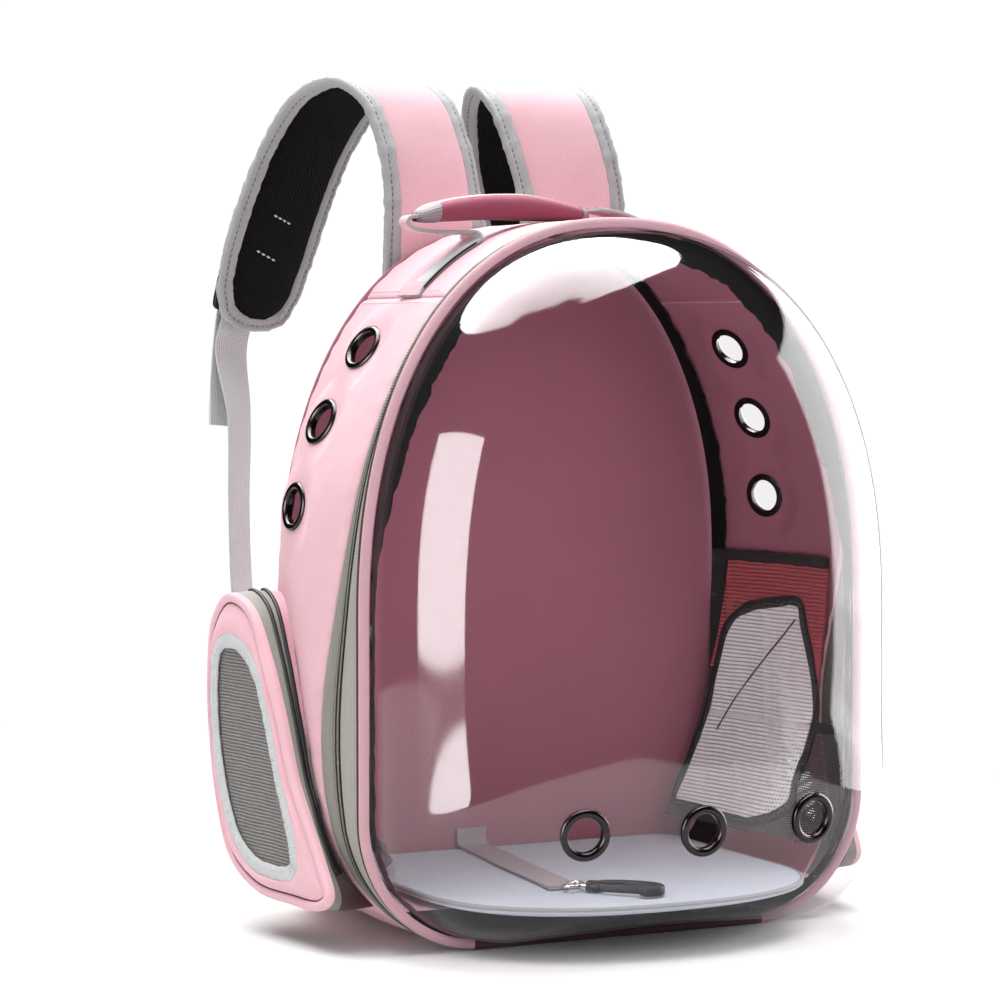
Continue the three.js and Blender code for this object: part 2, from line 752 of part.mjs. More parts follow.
const pocketFace = () => faceRing(pocketEdge, 0, windowEdge, POCKET.crown, POCKET.thickness);

function windowBinding() {
  const outer = grown(windowEdge, -GAP);
  const inner = grown(windowEdge, -WINDOW.bindingWidth);
  return faceRing(outer, POCKET.crown, inner, POCKET.crown, WINDOW.bindingThickness);
}

function windowMesh() {
  const behind = POCKET.crown - WINDOW.bindingThickness - GAP;
  const rim = grown(windowEdge, -WINDOW.meshInset);
  const middle = { y: 0, z: 0 };
  rim.forEach(({ y, z }) => {
    middle.y += y / rim.length;
    middle.z += z / rim.length;
  });
  const side = (lift) => rim.map((row) => [facePoint(row, lift), facePoint(middle, lift)]);
  return solidBetween(side(behind), side(behind - WINDOW.meshThickness), true);
}

// Gusset surface between the face's edge (depth 0) and the body's wall (depth 1), pushed outwards.
function gussetPoint({ y, z, ny, nz }, depth, push) {
  const landing = Math.max(y, zipRear(z) + POCKET.clearZip);
  const start = facePoint({ y, z }, -POCKET.thickness - GAP);
  const end = vec(-bodyHalfWidth(landing, z) - POCKET.clearWall, landing, z);
  return start.lerp(end, depth).add(vec(0, ny * push, nz * push));
}

function pocketGusset() {
  const side = (push) => pocketEdge.map((row) => [0, 1].map((depth) => gussetPoint(row, depth, push)));
  return solidBetween(side(0), side(-TAPE), true);
}

// The zip runs from the top of the pocket down its front edge.
function pocketZip() {
  const firstRow = Math.round(POCKET_STEPS * POCKET.zipFrom);
  const run = [...pocketEdge.slice(firstRow), pocketEdge[0]];
  const side = (push) => run.map((row) => POCKET.zipPair.map((depth) => gussetPoint(row, depth, push)));
  return solidBetween(side(POCKET.zipRise + POCKET.zipThickness), side(POCKET.zipRise));
}

// Hole through the side wall that the pocket covers.
function pocketOpening() {
  const margin = 14;
  const reach = 90;
  const outline = grown(pocketEdge, -margin).map(({ y, z }) => vec(0, Math.max(y, zipRear(z) + margin), z));
  const side = (x) => outline.map((p) => vec(x, p.y, p.z));
  return loft([side(-BACK_HALF_WIDTH + reach / 2), side(-BACK_HALF_WIDTH - reach / 2)]);
}

// Shoulder straps

// Centre lines of the straps from the back panel up, over and down: how far the left and the right one
// stand from the middle plane, and the turn of their width about the upright
const STRAP_ROWS = [
  { left: 48, right: 48, y: 68.8, z: 384, turn: 0, width: 70 },
  { left: 48, right: 48, y: 67.6, z: 408, turn: 1, width: 70 },
  { left: 49, right: 47, y: 70, z: 440, turn: 9, width: 70 },
  { left: 52, right: 42, y: 76, z: 470, turn: 12, width: 70 },
  { left: 58, right: 37, y: 90, z: 497, turn: 12, width: 70 },
  { left: 68, right: 36, y: 112, z: 508, turn: 12, width: 71 },
  { left: 81, right: 44, y: 139, z: 500, turn: 13, width: 72 },
  { left: 91, right: 58, y: 166, z: 472, turn: 14, width: 72 },
  { left: 100, right: 75, y: 185, z: 434, turn: 14, width: 72 },
  { left: 107, right: 86, y: 195, z: 402, turn: 14, width: 71 },
  { left: 111, right: 92, y: 201, z: 380, turn: 14, width: 66 },
  { left: 114, right: 96, y: 205, z: 357, turn: 14, width: 44 },
];
const STRAP = {
  binding: 11,
  padThickness: 9,
  bindingThickness: 6.4,
  padEnd: 0.965, // the pad stops short of the lower end, inside its binding
  length: 360,
  steps: 16,
};

// Rows and centre line of a strap, in the left strap's place, and how far in its lower end hangs from
// the left one's.
function strapOf(side) {
  const rows = STRAP_ROWS.map((row) => ({ ...row, x: -row[side] }));
  const curve = new THREE.CatmullRomCurve3(rows.map(({ x, y, z }) => vec(x, y, z)));
  return { rows, curve, shift: rows.at(-1).x + STRAP_ROWS.at(-1).left };
}

// Value of a table column at a place v along the strap, 0 at the back panel and 1 at its lower end.
function strapValue({ rows }, column, v) {
  const place = v * (rows.length - 1);
  const row = Math.min(Math.floor(place), rows.length - 2);
  return lerp(rows[row][column], rows[row + 1][column], place - row);
}

const widthDirection = (turn) => {
  const angle = THREE.MathUtils.degToRad(turn);
  return vec(Math.cos(angle), Math.sin(angle), 0);
};

// Axes of the strap at v: down its length, across its width, and out of its cloth side.
function strapFrame(strap, v) {
  const along = strap.curve.getTangent(v).normalize();
  const turned = widthDirection(strapValue(strap, "turn", v));
  const across = turned.addScaledVector(along, -turned.dot(along)).normalize();
  return { centre: strap.curve.getPoint(v), along, across, out: along.clone().cross(across).negate() };
}

// Point of the strap: v along it, across from its centre line, height off its middle.
function strapPoint(strap, v, across, height) {
  const frame = strapFrame(strap, v);
  return frame.centre.addScaledVector(frame.across, across).addScaledVector(frame.out, height);
}

function strapPad(strap) {
  const crown = [0.55, 1, 1, 0.55];
  const face = (side) =>
    range(STRAP.steps + 1).map((i) => {
      const v = (i / STRAP.steps) * STRAP.padEnd;
      const half = strapValue(strap, "width", v) / 2 - STRAP.binding - 1.5 * GAP;
      return crown.map((height, k) => {
        const across = lerp(-half, half, k / (crown.length - 1));
        return strapPoint(strap, v, across, (side * height * STRAP.padThickness) / 2);
      });
    });
  return solidBetween(face(1), face(-1));
}

// Tape folded over both edges and across the lower end, in one U.
function strapBinding(strap) {
  const { steps, padEnd, length } = STRAP;
  const edge = (sign, v, inset) => ({ v, across: sign * (strapValue(strap, "width", v) / 2 - inset) });
  const run = (inset, end) => [
    ...range(steps + 1).map((i) => edge(-1, (i / steps) * end, inset)),
    ...range(steps + 1).map((i) => edge(1, (1 - i / steps) * end, inset)),
  ];
  const outer = run(0, 1);
  const inner = run(STRAP.binding, padEnd + (2 * GAP) / length);
  const face = (side) => {
    const height = (side * STRAP.bindingThickness) / 2;
    const point = ({ v, across }) => strapPoint(strap, v, across, height);
    return outer.map((row, i) => [point(row), point(inner[i])]);
  };
  return solidBetween(face(1), face(-1));
}

// Ladder lock on the cloth side of the strap's lower end
const BUCKLE = {
  v: 0.92, // place along the strap
  shift: -8, // off the strap's centre line
  halfWidth: 20,
  halfHeight: 14,
  thickness: 4,
  slotHalf: 13.5,
  slots: [
    { bottom: -10, top: -2.8 },
    { bottom: 2.2, top: 9 },
  ],
};
const WEBBING = { width: 25, near: STRAP.padThickness / 2 + GAP + TAPE / 2 };
const BUCKLE_MIDDLE = WEBBING.near + TAPE / 2 + GAP + BUCKLE.thickness / 2;
const TAIL_HEIGHT = BUCKLE_MIDDLE + BUCKLE.thickness / 2 + GAP + TAPE / 2;

// Point beside the buckle: down the strap, across it, and out from its middle.
function bucklePoint(strap, down, across, height) {
  const frame = strapFrame(strap, BUCKLE.v);
  return frame.centre
    .addScaledVector(frame.along, down)
    .addScaledVector(frame.across, BUCKLE.shift + across)
    .addScaledVector(frame.out, height);
}

function strapBuckle(strap) {
  const rectangle = (left, bottom, right, top) => [
    new THREE.Vector2(left, bottom),
    new THREE.Vector2(right, bottom),
    new THREE.Vector2(right, top),
    new THREE.Vector2(left, top),
  ];
  const { halfWidth, halfHeight, slotHalf, slots, thickness } = BUCKLE;
  const plate = new THREE.Shape(rectangle(-halfWidth, -halfHeight, halfWidth, halfHeight));
  for (const { bottom, top } of slots) {
    plate.holes.push(new THREE.Path(rectangle(-slotHalf, bottom, slotHalf, top)));
  }
  const solid = new THREE.ExtrudeGeometry(plate, { depth: thickness, bevelEnabled: false });
  const position = solid.attributes.position;
  const points = range(position.count).map((i) => {
    const local = vec().fromBufferAttribute(position, i);
    return bucklePoint(strap, local.y, local.x, BUCKLE_MIDDLE - thickness / 2 + local.z);
  });
  return closed(points, range(position.count));
}

// Webbing: hanging tail, over the ladder lock's bar, down to the bottom corner of the back panel
const TAIL_ROWS = [
  { x: -130, y: 212, z: 294, turn: 16 },
  { x: -128, y: 214, z: 328, turn: 14 },
];
const WEBBING_ROWS = [
  { x: -125, y: 201, z: 300, turn: 34 },
  { x: -128, y: 194, z: 240, turn: 38 },
  { x: -131, y: 181, z: 185, turn: 38 },
  { x: -134, y: 152, z: 125, turn: 30 },
  { x: -133, y: 116, z: 76, turn: 16 },
  { x: -130, y: 92, z: 54, turn: 4 },
  { x: -128, y: 84.3, z: 40, turn: 0 },
  { x: -127, y: 85.3, z: 20, turn: 0 },
];
const BUCKLE_ROWS = [
  { down: 16, height: TAIL_HEIGHT },
  { down: -2, height: TAIL_HEIGHT },
  { down: -4.8, height: BUCKLE_MIDDLE + 2.6 },
  { down: -5.8, height: BUCKLE_MIDDLE },
  { down: -4.8, height: BUCKLE_MIDDLE - 2.6 },
  { down: -2, height: WEBBING.near },
  { down: 16, height: WEBBING.near },
  { down: 36, height: WEBBING.near + 0.8 },
];

function strapWebbing(strap) {
  const lockTurn = strapValue(strap, "turn", BUCKLE.v);
  const [anchorZ, hangingZ] = [40, 300];
  const hanging = ({ x, y, z, turn }) => {
    const shift = strap.shift * smoothstep(z, anchorZ, hangingZ);
    return { point: vec(x + shift, y, z), turn };
  };
  const threaded = ({ down, height }) => ({ point: bucklePoint(strap, down, 0, height), turn: lockTurn });
  const rows = [...TAIL_ROWS.map(hanging), ...BUCKLE_ROWS.map(threaded), ...WEBBING_ROWS.map(hanging)];
  const curve = new THREE.CatmullRomCurve3(rows.map(({ point }) => point), false, "centripetal");
  const perRow = 2;
  const count = (rows.length - 1) * perRow;
  const points = range(count + 1).map((i) => curve.getPoint(i / count));
  const directions = points.map((_, i) => {
    const row = Math.min(Math.floor(i / perRow), rows.length - 2);
    return widthDirection(lerp(rows[row].turn, rows[row + 1].turn, i / perRow - row));
  });
  return ribbon(points, directions, WEBBING.width, TAPE);
}

// Top handle, lying slack towards the left

const HANDLE = { y: -20, tabWidth: 30, tab: 2.4, standoff: 0.7, gripDepth: 24, endTaper: 0.8 };
const TAB_STEPS = { left: 30, right: 14 };
const GRIP_ROWS = [
  { x: -92, z: 424, height: 9 },
  { x: -82, z: 425.5, height: 15 },
  { x: -66, z: 427.5, height: 19.5 },
  { x: -42, z: 429.5, height: 19 },
  { x: -18, z: 430, height: 16.5 },
  { x: 0, z: 429, height: 12.5 },
  { x: 10, z: 427.5, height: 8 },
];

// Padded grip with an eight-sided rounded section.
function handleGrip() {
  const sides = 8;
  const rings = GRIP_ROWS.map(({ x, z, height }, row) => {
    const ends = row === 0 || row === GRIP_ROWS.length - 1;
    const depth = HANDLE.gripDepth * (ends ? HANDLE.endTaper : 1);
    return range(sides).map((i) => {
      const angle = ((i + 0.5) / sides) * 2 * Math.PI;
      return vec(x, HANDLE.y + (depth / 2) * Math.cos(angle), z + (height / 2) * Math.sin(angle));
    });
  });
  return loft(rings);
}

// Height of the middle of a tab that lies on the top panel at x.
const tabRest = (x) => bodyTop(x, HANDLE.y - HANDLE.tabWidth / 2) + HANDLE.standoff + HANDLE.tab / 2;

function handleTab(table, steps) {
  const points = smoothPath(table.map(({ x, z }) => vec(x, HANDLE.y, z ?? tabRest(x))), steps);
  return ribbon(points, points.map(() => vec(0, 1, 0)), HANDLE.tabWidth, HANDLE.tab);
}

// Rows with no height lie on the top panel. The left tab is folded back on itself under the grip.
const LEFT_TAB = [
  { x: -107 },
  { x: -98 },
  { x: -89 },
  { x: -80 },
  { x: -72 },
  { x: -66, z: 409 },
  { x: -67, z: 412.5 },
  { x: -76, z: 412.5 },
  { x: -87, z: 413.5 },
  { x: -97, z: 415.5 },
  { x: -101.5, z: 419.5 },
  { x: -99, z: 423.3 },
  { x: -92.8, z: 424 },
];
const RIGHT_TAB = [
  { x: 10.6, z: 427.5 },
  { x: 28, z: 425 },
  { x: 48, z: 417.5 },
  { x: 62 },
  { x: 74 },
  { x: 85 },
  { x: 96 },
  { x: 107 },
];

// Assembly

const carrier = new THREE.Group();

function add(name, geometry, color, finish = CLOTH) {
  const mesh = new THREE.Mesh(geometry, new THREE.MeshStandardMaterial({ color, ...finish }));
  mesh.name = name;
  carrier.add(mesh);
}

function addPair(name, geometry, color, finish) {
  add(`${name}_left`, geometry, color, finish);
  add(`${name}_right`, mirrored(geometry), color, finish);
}

const sideVents = SIDE_VENTS.map(sideFrame);
const domeVents = DOME_VENTS.map(domeFrame);

add("back_panel", backPanel(), PINK);
add("base_panel", basePanel(), PINK);
add("top_panel", topPanel(), PINK);
addPair("side_panel", sidePanel(sideVents, pocketOpening()), PINK);
addPair("side_mesh", sideMesh(), BLACK);
for (const [name, geometry] of Object.entries(zipPieces())) {
  add(name, geometry, GREY);
}
for (const [name, geometry] of Object.entries(bindings())) {
  add(name, geometry, BLACK);
}
add("dome_piping", domePiping(), PINK);
add("bubble_dome", bubble(domeVents), CLEAR, GLOSS);
sideVents.forEach((frame, i) => {
  const ring = eyelet(frame, WALL);
  add(`grommet_left_${i + 1}`, ring, GUNMETAL, METAL);
  add(`grommet_right_${i + 1}`, mirrored(ring), GUNMETAL, METAL);
});
domeVents.forEach((frame, i) => {
  add(`grommet_dome_${i + 1}`, eyelet(frame, DOME.wall, DOME.eyeletStandoff), GUNMETAL, METAL);
});
add("floor_mat", floorMat(), PALE);
add("tether_strap", tetherStrap(), LIGHT_GREY);
add("hook_swivel", hookSwivel(), GUNMETAL, METAL);
add("snap_hook", snapHook(), BLACK, PLASTIC);
add("hook_gate", hookGate(), BLACK, PLASTIC);
addPair("pocket_face", pocketFace(), PINK);
addPair("pocket_gusset", pocketGusset(), GREY);
addPair("pocket_zip", pocketZip(), BLACK, TEETH);
addPair("window_binding", windowBinding(), LIGHT_GREY);
addPair("window_mesh", windowMesh(), GREY);
for (const side of ["left", "right"]) {
  const strap = strapOf(side);
  const place = (geometry) => (side === "right" ? mirrored(geometry) : geometry);
  add(`strap_pad_${side}`, place(strapPad(strap)), PINK);
  add(`strap_binding_${side}`, place(strapBinding(strap)), LIGHT_GREY);
  add(`strap_webbing_${side}`, place(strapWebbing(strap)), LIGHT_GREY);
  add(`strap_buckle_${side}`, place(strapBuckle(strap)), BLACK, PLASTIC);
}
add("handle_grip", handleGrip(), PINK);
add("handle_tab_left", handleTab(LEFT_TAB, TAB_STEPS.left), PINK);
add("handle_tab_right", handleTab(RIGHT_TAB, TAB_STEPS.right), PINK);

export default carrier;
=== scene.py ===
"""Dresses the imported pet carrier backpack: cloth panels, zips, clear bubble, eyelets, pockets, netting,
straps, handle, mat and snap hook as finished surfaces, set in a soft white studio.

Shapes are worked out in millimetres with numpy and put into meshes in metres, in the frame of the CAD part.
"""

import math

import bmesh
import bpy
import numpy as np
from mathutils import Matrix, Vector


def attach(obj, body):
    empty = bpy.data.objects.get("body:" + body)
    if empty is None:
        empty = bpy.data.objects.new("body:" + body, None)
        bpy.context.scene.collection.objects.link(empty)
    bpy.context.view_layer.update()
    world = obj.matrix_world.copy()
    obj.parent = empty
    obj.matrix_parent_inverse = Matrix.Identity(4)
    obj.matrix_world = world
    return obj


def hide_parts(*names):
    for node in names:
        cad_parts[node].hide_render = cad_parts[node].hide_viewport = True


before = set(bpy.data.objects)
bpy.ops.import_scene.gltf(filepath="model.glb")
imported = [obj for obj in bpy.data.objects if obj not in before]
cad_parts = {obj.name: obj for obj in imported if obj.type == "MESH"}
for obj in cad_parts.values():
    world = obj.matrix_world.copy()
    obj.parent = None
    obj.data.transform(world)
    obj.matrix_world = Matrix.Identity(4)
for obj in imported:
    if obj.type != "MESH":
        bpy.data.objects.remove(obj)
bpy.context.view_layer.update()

bl_info = {
    "name": "Pet carrier backpack",
    "version": (1, 0, 0),
    "blender": (4, 5, 0),
    "location": "3D View > Sidebar > Carrier",
    "description": "Builds the finished pieces of a pet carrier backpack round its CAD part",
    "category": "Object",
}

MM = 0.001
TURN = 2 * math.pi
QUARTER = math.pi / 2

# Body sizes in millimetres, as in the CAD part
HEIGHT = 420.0
WIDEST_Z = 190.0
FRAME_HALF_WIDTH = 166.0
BACK_HALF_WIDTH = 152.0
FRAME_Y = -82.5
BACK_FOOT_Y = 85.0
BACK_LEAN = 0.055
DOME_DEPTH = 101.0
FRAME_CORNER = 77.0
BACK_CORNER = 60.0
ARCH_POWER = 0.88
SKIRT_Z = 1.0
BACK_PAD = 6.0
WALL = 3.0
CLOTH = 2.0
TAPE = 1.6
BASE_HEIGHT = 24.7
MAT_TOP = 32.0
ZIP_FRONT = FRAME_Y + 3.3
DOME_INSET = 5.6
DOME_APEX_Z = 200.0
BODY_MIDDLE = (0, 0, 200)
EYELET_BORE = 11.4
EYELET_TOP = 1.7

# Height of the CAD eyelets' tops over their walls, and their lean to the front, or to the back if negative
EYELET_SEATS = {
    "left": (3.1, math.radians(12)),
    "right": (3.1, math.radians(-12)),
    "dome": (2.8, 0.0),
}


def length_property(name, description, default):
    """A length that a user would change, in metres."""
    return bpy.props.FloatProperty(name=name, description=description, default=default, unit="LENGTH")


class CarrierSizes(bpy.types.PropertyGroup):
    """Sizes of the soft detail that a user would change."""

    weave: length_property("Weave pitch", "Thread pitch of the pink cloth", 0.0011)
    rib: length_property("Rib pitch", "Pitch of the ribs in tapes and webbing", 0.0016)
    net: length_property("Net pitch", "Cell size of the netting", 0.0025)
    coil: length_property("Coil pitch", "Pitch of the main zip's teeth", 0.0019)
    stitch: length_property("Stitch length", "Length of one sewn stitch", 0.0032)
    wrinkle: length_property("Wrinkle height", "Unevenness of the cloth walls", 0.0008)
    seam_roll: length_property("Seam roll", "How far cloth dives into its seams", 0.0014)


def colour_property(name, description, default):
    """A colour that a user would change, in linear values."""
    return bpy.props.FloatVectorProperty(
        name=name, description=description, default=default, size=3, min=0, max=1, subtype="COLOR"
    )


class CarrierColours(bpy.types.PropertyGroup):
    """Colours of the finishes."""

    pink: colour_property("Pink cloth", "Outer cloth of body, pockets and straps", (0.80, 0.47, 0.53))
    # rose: a darker rose for the lining, partly its own colour and partly painted shade of the body's dim
    # inside
    rose: colour_property("Rose lining", "Lining cloth inside the body", (0.46, 0.17, 0.222))
    # grip: deep rose that paints the shade on the grip's front and underside
    grip: colour_property("Grip", "Deep rose cloth of the handle's grip", (0.27, 0.042, 0.084))
    tape: colour_property("Zip tape", "Tapes of the main zip and of the gussets", (0.335, 0.325, 0.285))
    coil: colour_property("Zip coil", "Teeth of the main zip", (0.17, 0.165, 0.12))
    webbing: colour_property("Webbing", "Webbing and bindings", (0.60, 0.61, 0.625))
    tether: colour_property("Tether", "Webbing of the tether", (0.50, 0.43, 0.465))
    black: colour_property("Black tape", "Inner bindings, mesh and pocket zips", (0.008, 0.007, 0.008))
    net: colour_property("Grey net", "Net of the pocket windows", (0.20, 0.19, 0.18))
    red_net: colour_property("Red net", "Upper part of the netting inside the walls", (0.62, 0.12, 0.125))
    pale_net: colour_property("Pale net", "Field of the netting inside the walls", (0.90, 0.89, 0.87))
    mat: colour_property("Mat", "Pale floor mat", (0.58, 0.66, 0.74))
    metal: colour_property("Eyelet metal", "Dark polished eyelets", (0.034, 0.029, 0.03))
    nickel: colour_property("Swivel metal", "Bright swivel of the snap hook", (0.62, 0.61, 0.60))
    plastic: colour_property("Plastic", "Snap hook and ladder locks", (0.012, 0.012, 0.014))
    bubble: colour_property("Bubble", "Faint tint of the clear bubble", (0.955, 0.945, 0.955))
    floor: colour_property("Floor", "Studio floor", (0.74, 0.735, 0.735))


def sizes():
    """The sizes as a user has set them."""
    return bpy.context.scene.carrier_sizes


def colours():
    """The colours as a user has set them."""
    return bpy.context.scene.carrier_colours


# Shader maths


class Wire:
    """An output socket that takes part in Python arithmetic: each operator adds a Math node."""

    def __init__(self, finish, socket):
        self.finish = finish
        self.socket = socket

    def math(self, operation, *others):
        sockets = dict(enumerate([self, *others]))
        return self.finish.wire("ShaderNodeMath", {"operation": operation}, sockets)

    def __add__(self, other):
        return self.math("ADD", other)

    __radd__ = __add__

    def __mul__(self, other):
        return self.math("MULTIPLY", other)

    __rmul__ = __mul__

    def __sub__(self, other):
        return self.math("SUBTRACT", other)

    def __rsub__(self, other):
        return self * -1 + other

    def __truediv__(self, other):
        return self.math("DIVIDE", other)

    def __gt__(self, other):
        return self.math("GREATER_THAN", other)

    def __abs__(self):
        return self.math("ABSOLUTE")

    def sine(self):
        return self.math("SINE")

    def fraction(self):
        return self.math("FRACT")

    def larger(self, other):
        return self.math("MAXIMUM", other)

    def clamped(self):
        return self.math("MINIMUM", 1.0).math("MAXIMUM", 0.0)


SOCKETS = {
    "base_color": "Base Color",
    "roughness": "Roughness",
    "metallic": "Metallic",
    "alpha": "Alpha",
    "sheen": "Sheen Weight",
    "gloss": "Specular IOR Level",
    "glow": "Emission Strength",
}


class Nodes:
    """A node tree that is emptied and filled again from Python."""

    def __init__(self, owner):
        owner.use_nodes = True
        self.tree = owner.node_tree
        self.tree.nodes.clear()

    def node(self, kind, settings=None, sockets=None):
        """Adds a node: its settings come first, then the values or links of its sockets."""
        node = self.tree.nodes.new(kind)
        for key, value in (settings or {}).items():
            setattr(node, key, value)
        for key, value in (sockets or {}).items():
            self.feed(node.inputs[key], value)
        return node

    def feed(self, socket, value):
        if isinstance(value, Wire):
            self.tree.links.new(value.socket, socket)
        else:
            socket.default_value = value

    def wire(self, kind, settings=None, sockets=None, output=0):
        return Wire(self, self.node(kind, settings, sockets).outputs[output])


class Finish(Nodes):
    """One procedural material: a Principled shader and the wires that feed it."""

    def __init__(self, name):
        self.material = bpy.data.materials.new(f"{name}_finish")
        super().__init__(self.material)
        self.end = self.node("ShaderNodeOutputMaterial")
        self.shader = self.node("ShaderNodeBsdfPrincipled")
        self.feed(self.end.inputs["Surface"], Wire(self, self.shader.outputs[0]))

    def across_and_along(self):
        """The piece's own map in millimetres, as two wires."""
        place = self.wire("ShaderNodeUVMap", {"uv_map": "mm"})
        split = self.node("ShaderNodeSeparateXYZ", None, {0: place})
        return Wire(self, split.outputs[0]), Wire(self, split.outputs[1])

    def cloud(self, length, detail=2.0):
        """Noise from 0 to 1 in object space, with features of about this length in metres."""
        place = self.wire("ShaderNodeTexCoord", None, None, "Object")
        return self.wire("ShaderNodeTexNoise", None, {"Vector": place, "Scale": 1 / length, "Detail": detail})

    def tint(self, share, first, last):
        """A colour between two colours."""
        values = {0: share, 6: (*first, 1.0), 7: (*last, 1.0)}
        return self.wire("ShaderNodeMix", {"data_type": "RGBA"}, values, 2)

    def skin(self, height=None, depth=0.0003, **sockets):
        """Feeds the shader's sockets, and a Bump node of this depth in metres."""
        for key, value in sockets.items():
            self.feed(self.shader.inputs[SOCKETS[key]], value)
        if height is not None:
            bump = self.wire("ShaderNodeBump", None, {"Strength": 0.7, "Distance": depth, "Height": height})
            self.feed(self.shader.inputs["Normal"], bump)
        return self.material


def scaled(colour, by):
    """A colour made lighter or darker."""
    return tuple(min(channel * by, 1.0) for channel in colour)


def woven(name, colour, patches=0.5, depth=0.0003, flecks=0.5):
    """Plain-woven cloth: a checker of thread crossings, flecks of yarn and slow patches of shade."""
    finish = Finish(name)
    u, v = finish.across_and_along()
    pace = TURN / (sizes().weave / MM)
    threads = (u * pace).sine() * (v * pace).sine()
    fleck = finish.cloud(0.0016)
    patch = finish.cloud(0.045)
    shade = (threads * 0.12 + (fleck - 0.5) * flecks + (patch - 0.5) * patches + 0.5).clamped()
    base = finish.tint(shade, scaled(colour, 0.9), scaled(colour, 1.1))
    rough = (fleck - 0.5) * 0.2 + 0.82
    height = threads * 0.5 + fleck * 0.6
    return finish.skin(height, depth, base_color=base, roughness=rough, sheen=0.15, gloss=0.25)


def ribbed(name, colour, pitch=1.0, roughness=0.7, groove=0.75, depth=0.0005, gloss=0.3):
    """Webbing or tape: ribs along its run, crossed by fine weft threads."""
    finish = Finish(name)
    u, v = finish.across_and_along()
    step = sizes().rib / MM * pitch
    rib = abs((u * (math.pi / step)).sine())
    weft = abs((v * (math.pi / (step * 0.55))).sine())
    fleck = finish.cloud(0.0018)
    patch = finish.cloud(0.03)
    shade = (rib * 0.5 + weft * 0.25 + (fleck - 0.5) * 0.5 + (patch - 0.5) * 0.3 + 0.15).clamped()
    base = finish.tint(shade, scaled(colour, groove), scaled(colour, 1.08))
    rough = roughness + (0.5 - fleck) * 0.2
    return finish.skin(rib + weft * 0.6, depth, base_color=base, roughness=rough, gloss=gloss)


def netted(name, colour, level, upright, pitch=1.0, glow=0.0):
    """Netting: cells cut out of the cloth by its alpha, between level and upright threads of these half
    widths; the glow stands for light that shines through it from behind."""
    finish = Finish(name)
    u, v = finish.across_and_along()
    step = sizes().net / MM * pitch
    waver = finish.cloud(0.02) * 0.6
    beside = abs((u / (step * 0.8) + waver).fraction() - 0.5)
    over = abs((v / step + waver).fraction() - 0.5)
    alpha = (over > (0.5 - level)).larger(beside > (0.5 - upright))
    fleck = finish.cloud(0.004)
    base = finish.tint(fleck, scaled(colour, 0.7), scaled(colour, 1.25))
    finish.feed(finish.shader.inputs["Emission Color"], base)
    rough = 0.75 + (fleck - 0.5) * 0.2
    height = over.larger(beside)
    return finish.skin(height, 0.0004, base_color=base, alpha=alpha, roughness=rough, glow=glow)


def spacer(name, colour):
    """Springy spacer mesh of the straps' underside: dark pores in rows."""
    finish = Finish(name)
    u, v = finish.across_and_along()
    pace = TURN / 3.0
    pores = ((u * pace).sine() * (v * pace).sine()).clamped()
    fleck = finish.cloud(0.0015)
    base = finish.tint((pores + fleck * 0.3).clamped(), scaled(colour, 0.9), scaled(colour, 0.15))
    rough = 0.8 + (fleck - 0.5) * 0.2
    return finish.skin(1 - pores, 0.0008, base_color=base, roughness=rough, gloss=0.04)


def mottled(name, colour, length, dark, light, roughness, gloss=0.5):
    """Zip teeth or sewing thread: flecks between a darker and a lighter shade, a little uneven."""
    finish = Finish(name)
    fleck = finish.cloud(length)
    base = finish.tint(fleck, scaled(colour, dark), scaled(colour, light))
    rough = roughness + (fleck - 0.5) * 0.2
    return finish.skin(fleck, 0.0002, base_color=base, roughness=rough, gloss=gloss)


def clear(name, colour):
    """Clear moulded sheet: light goes straight through with a faint tint, and more of it is mirrored the
    more the sheet is turned away, by a power of five."""
    finish = Finish(name)
    haze = finish.cloud(0.09)
    finish.skin(base_color=(1, 1, 1, 1), metallic=1.0, roughness=0.03 + haze * 0.03)
    through = finish.wire("ShaderNodeBsdfTransparent", None, {"Color": (*colour, 1)})
    gloss = Wire(finish, finish.shader.outputs[0])
    facing = finish.wire("ShaderNodeLayerWeight", None, {"Blend": 0.5}, "Facing")
    mirror = facing.math("POWER", 5.0) * 0.4 + 0.025
    both = finish.wire("ShaderNodeMixShader", None, {0: mirror, 1: through, 2: gloss})
    finish.feed(finish.end.inputs["Surface"], both)
    return finish.material


def polished(name, colour, roughness):
    """Polished metal with fine handling marks."""
    finish = Finish(name)
    marks = finish.cloud(0.002, 4.0)
    base = finish.tint(marks, scaled(colour, 0.85), scaled(colour, 1.15))
    rough = roughness + (marks - 0.5) * 0.12
    return finish.skin(marks, 0.00004, base_color=base, roughness=rough, metallic=1.0)


def moulded(name, colour):
    """Moulded plastic with a fine spark texture."""
    finish = Finish(name)
    grain = finish.cloud(0.0006, 3.0)
    patch = finish.cloud(0.02)
    base = finish.tint(patch, scaled(colour, 0.8), scaled(colour, 1.6))
    rough = 0.38 + (grain - 0.5) * 0.2
    return finish.skin(grain, 0.00008, base_color=base, roughness=rough, gloss=0.14)


def brushed(name, colour):
    """Short brushed pile: tufts over a slow unevenness."""
    finish = Finish(name)
    pile = finish.cloud(0.0022, 4.0)
    patch = finish.cloud(0.03)
    shade = ((pile - 0.5) * 0.9 + (patch - 0.5) * 0.6 + 0.5).clamped()
    base = finish.tint(shade, scaled(colour, 0.86), scaled(colour, 1.08))
    return finish.skin(pile + patch * 0.4, 0.0012, base_color=base, roughness=0.95, sheen=0.3)


def matt(name, colour):
    """Matt paint with slow patches that hardly show."""
    finish = Finish(name)
    base = finish.tint(finish.cloud(0.6), scaled(colour, 0.99), scaled(colour, 1.01))
    return finish.skin(base_color=base, roughness=0.9)


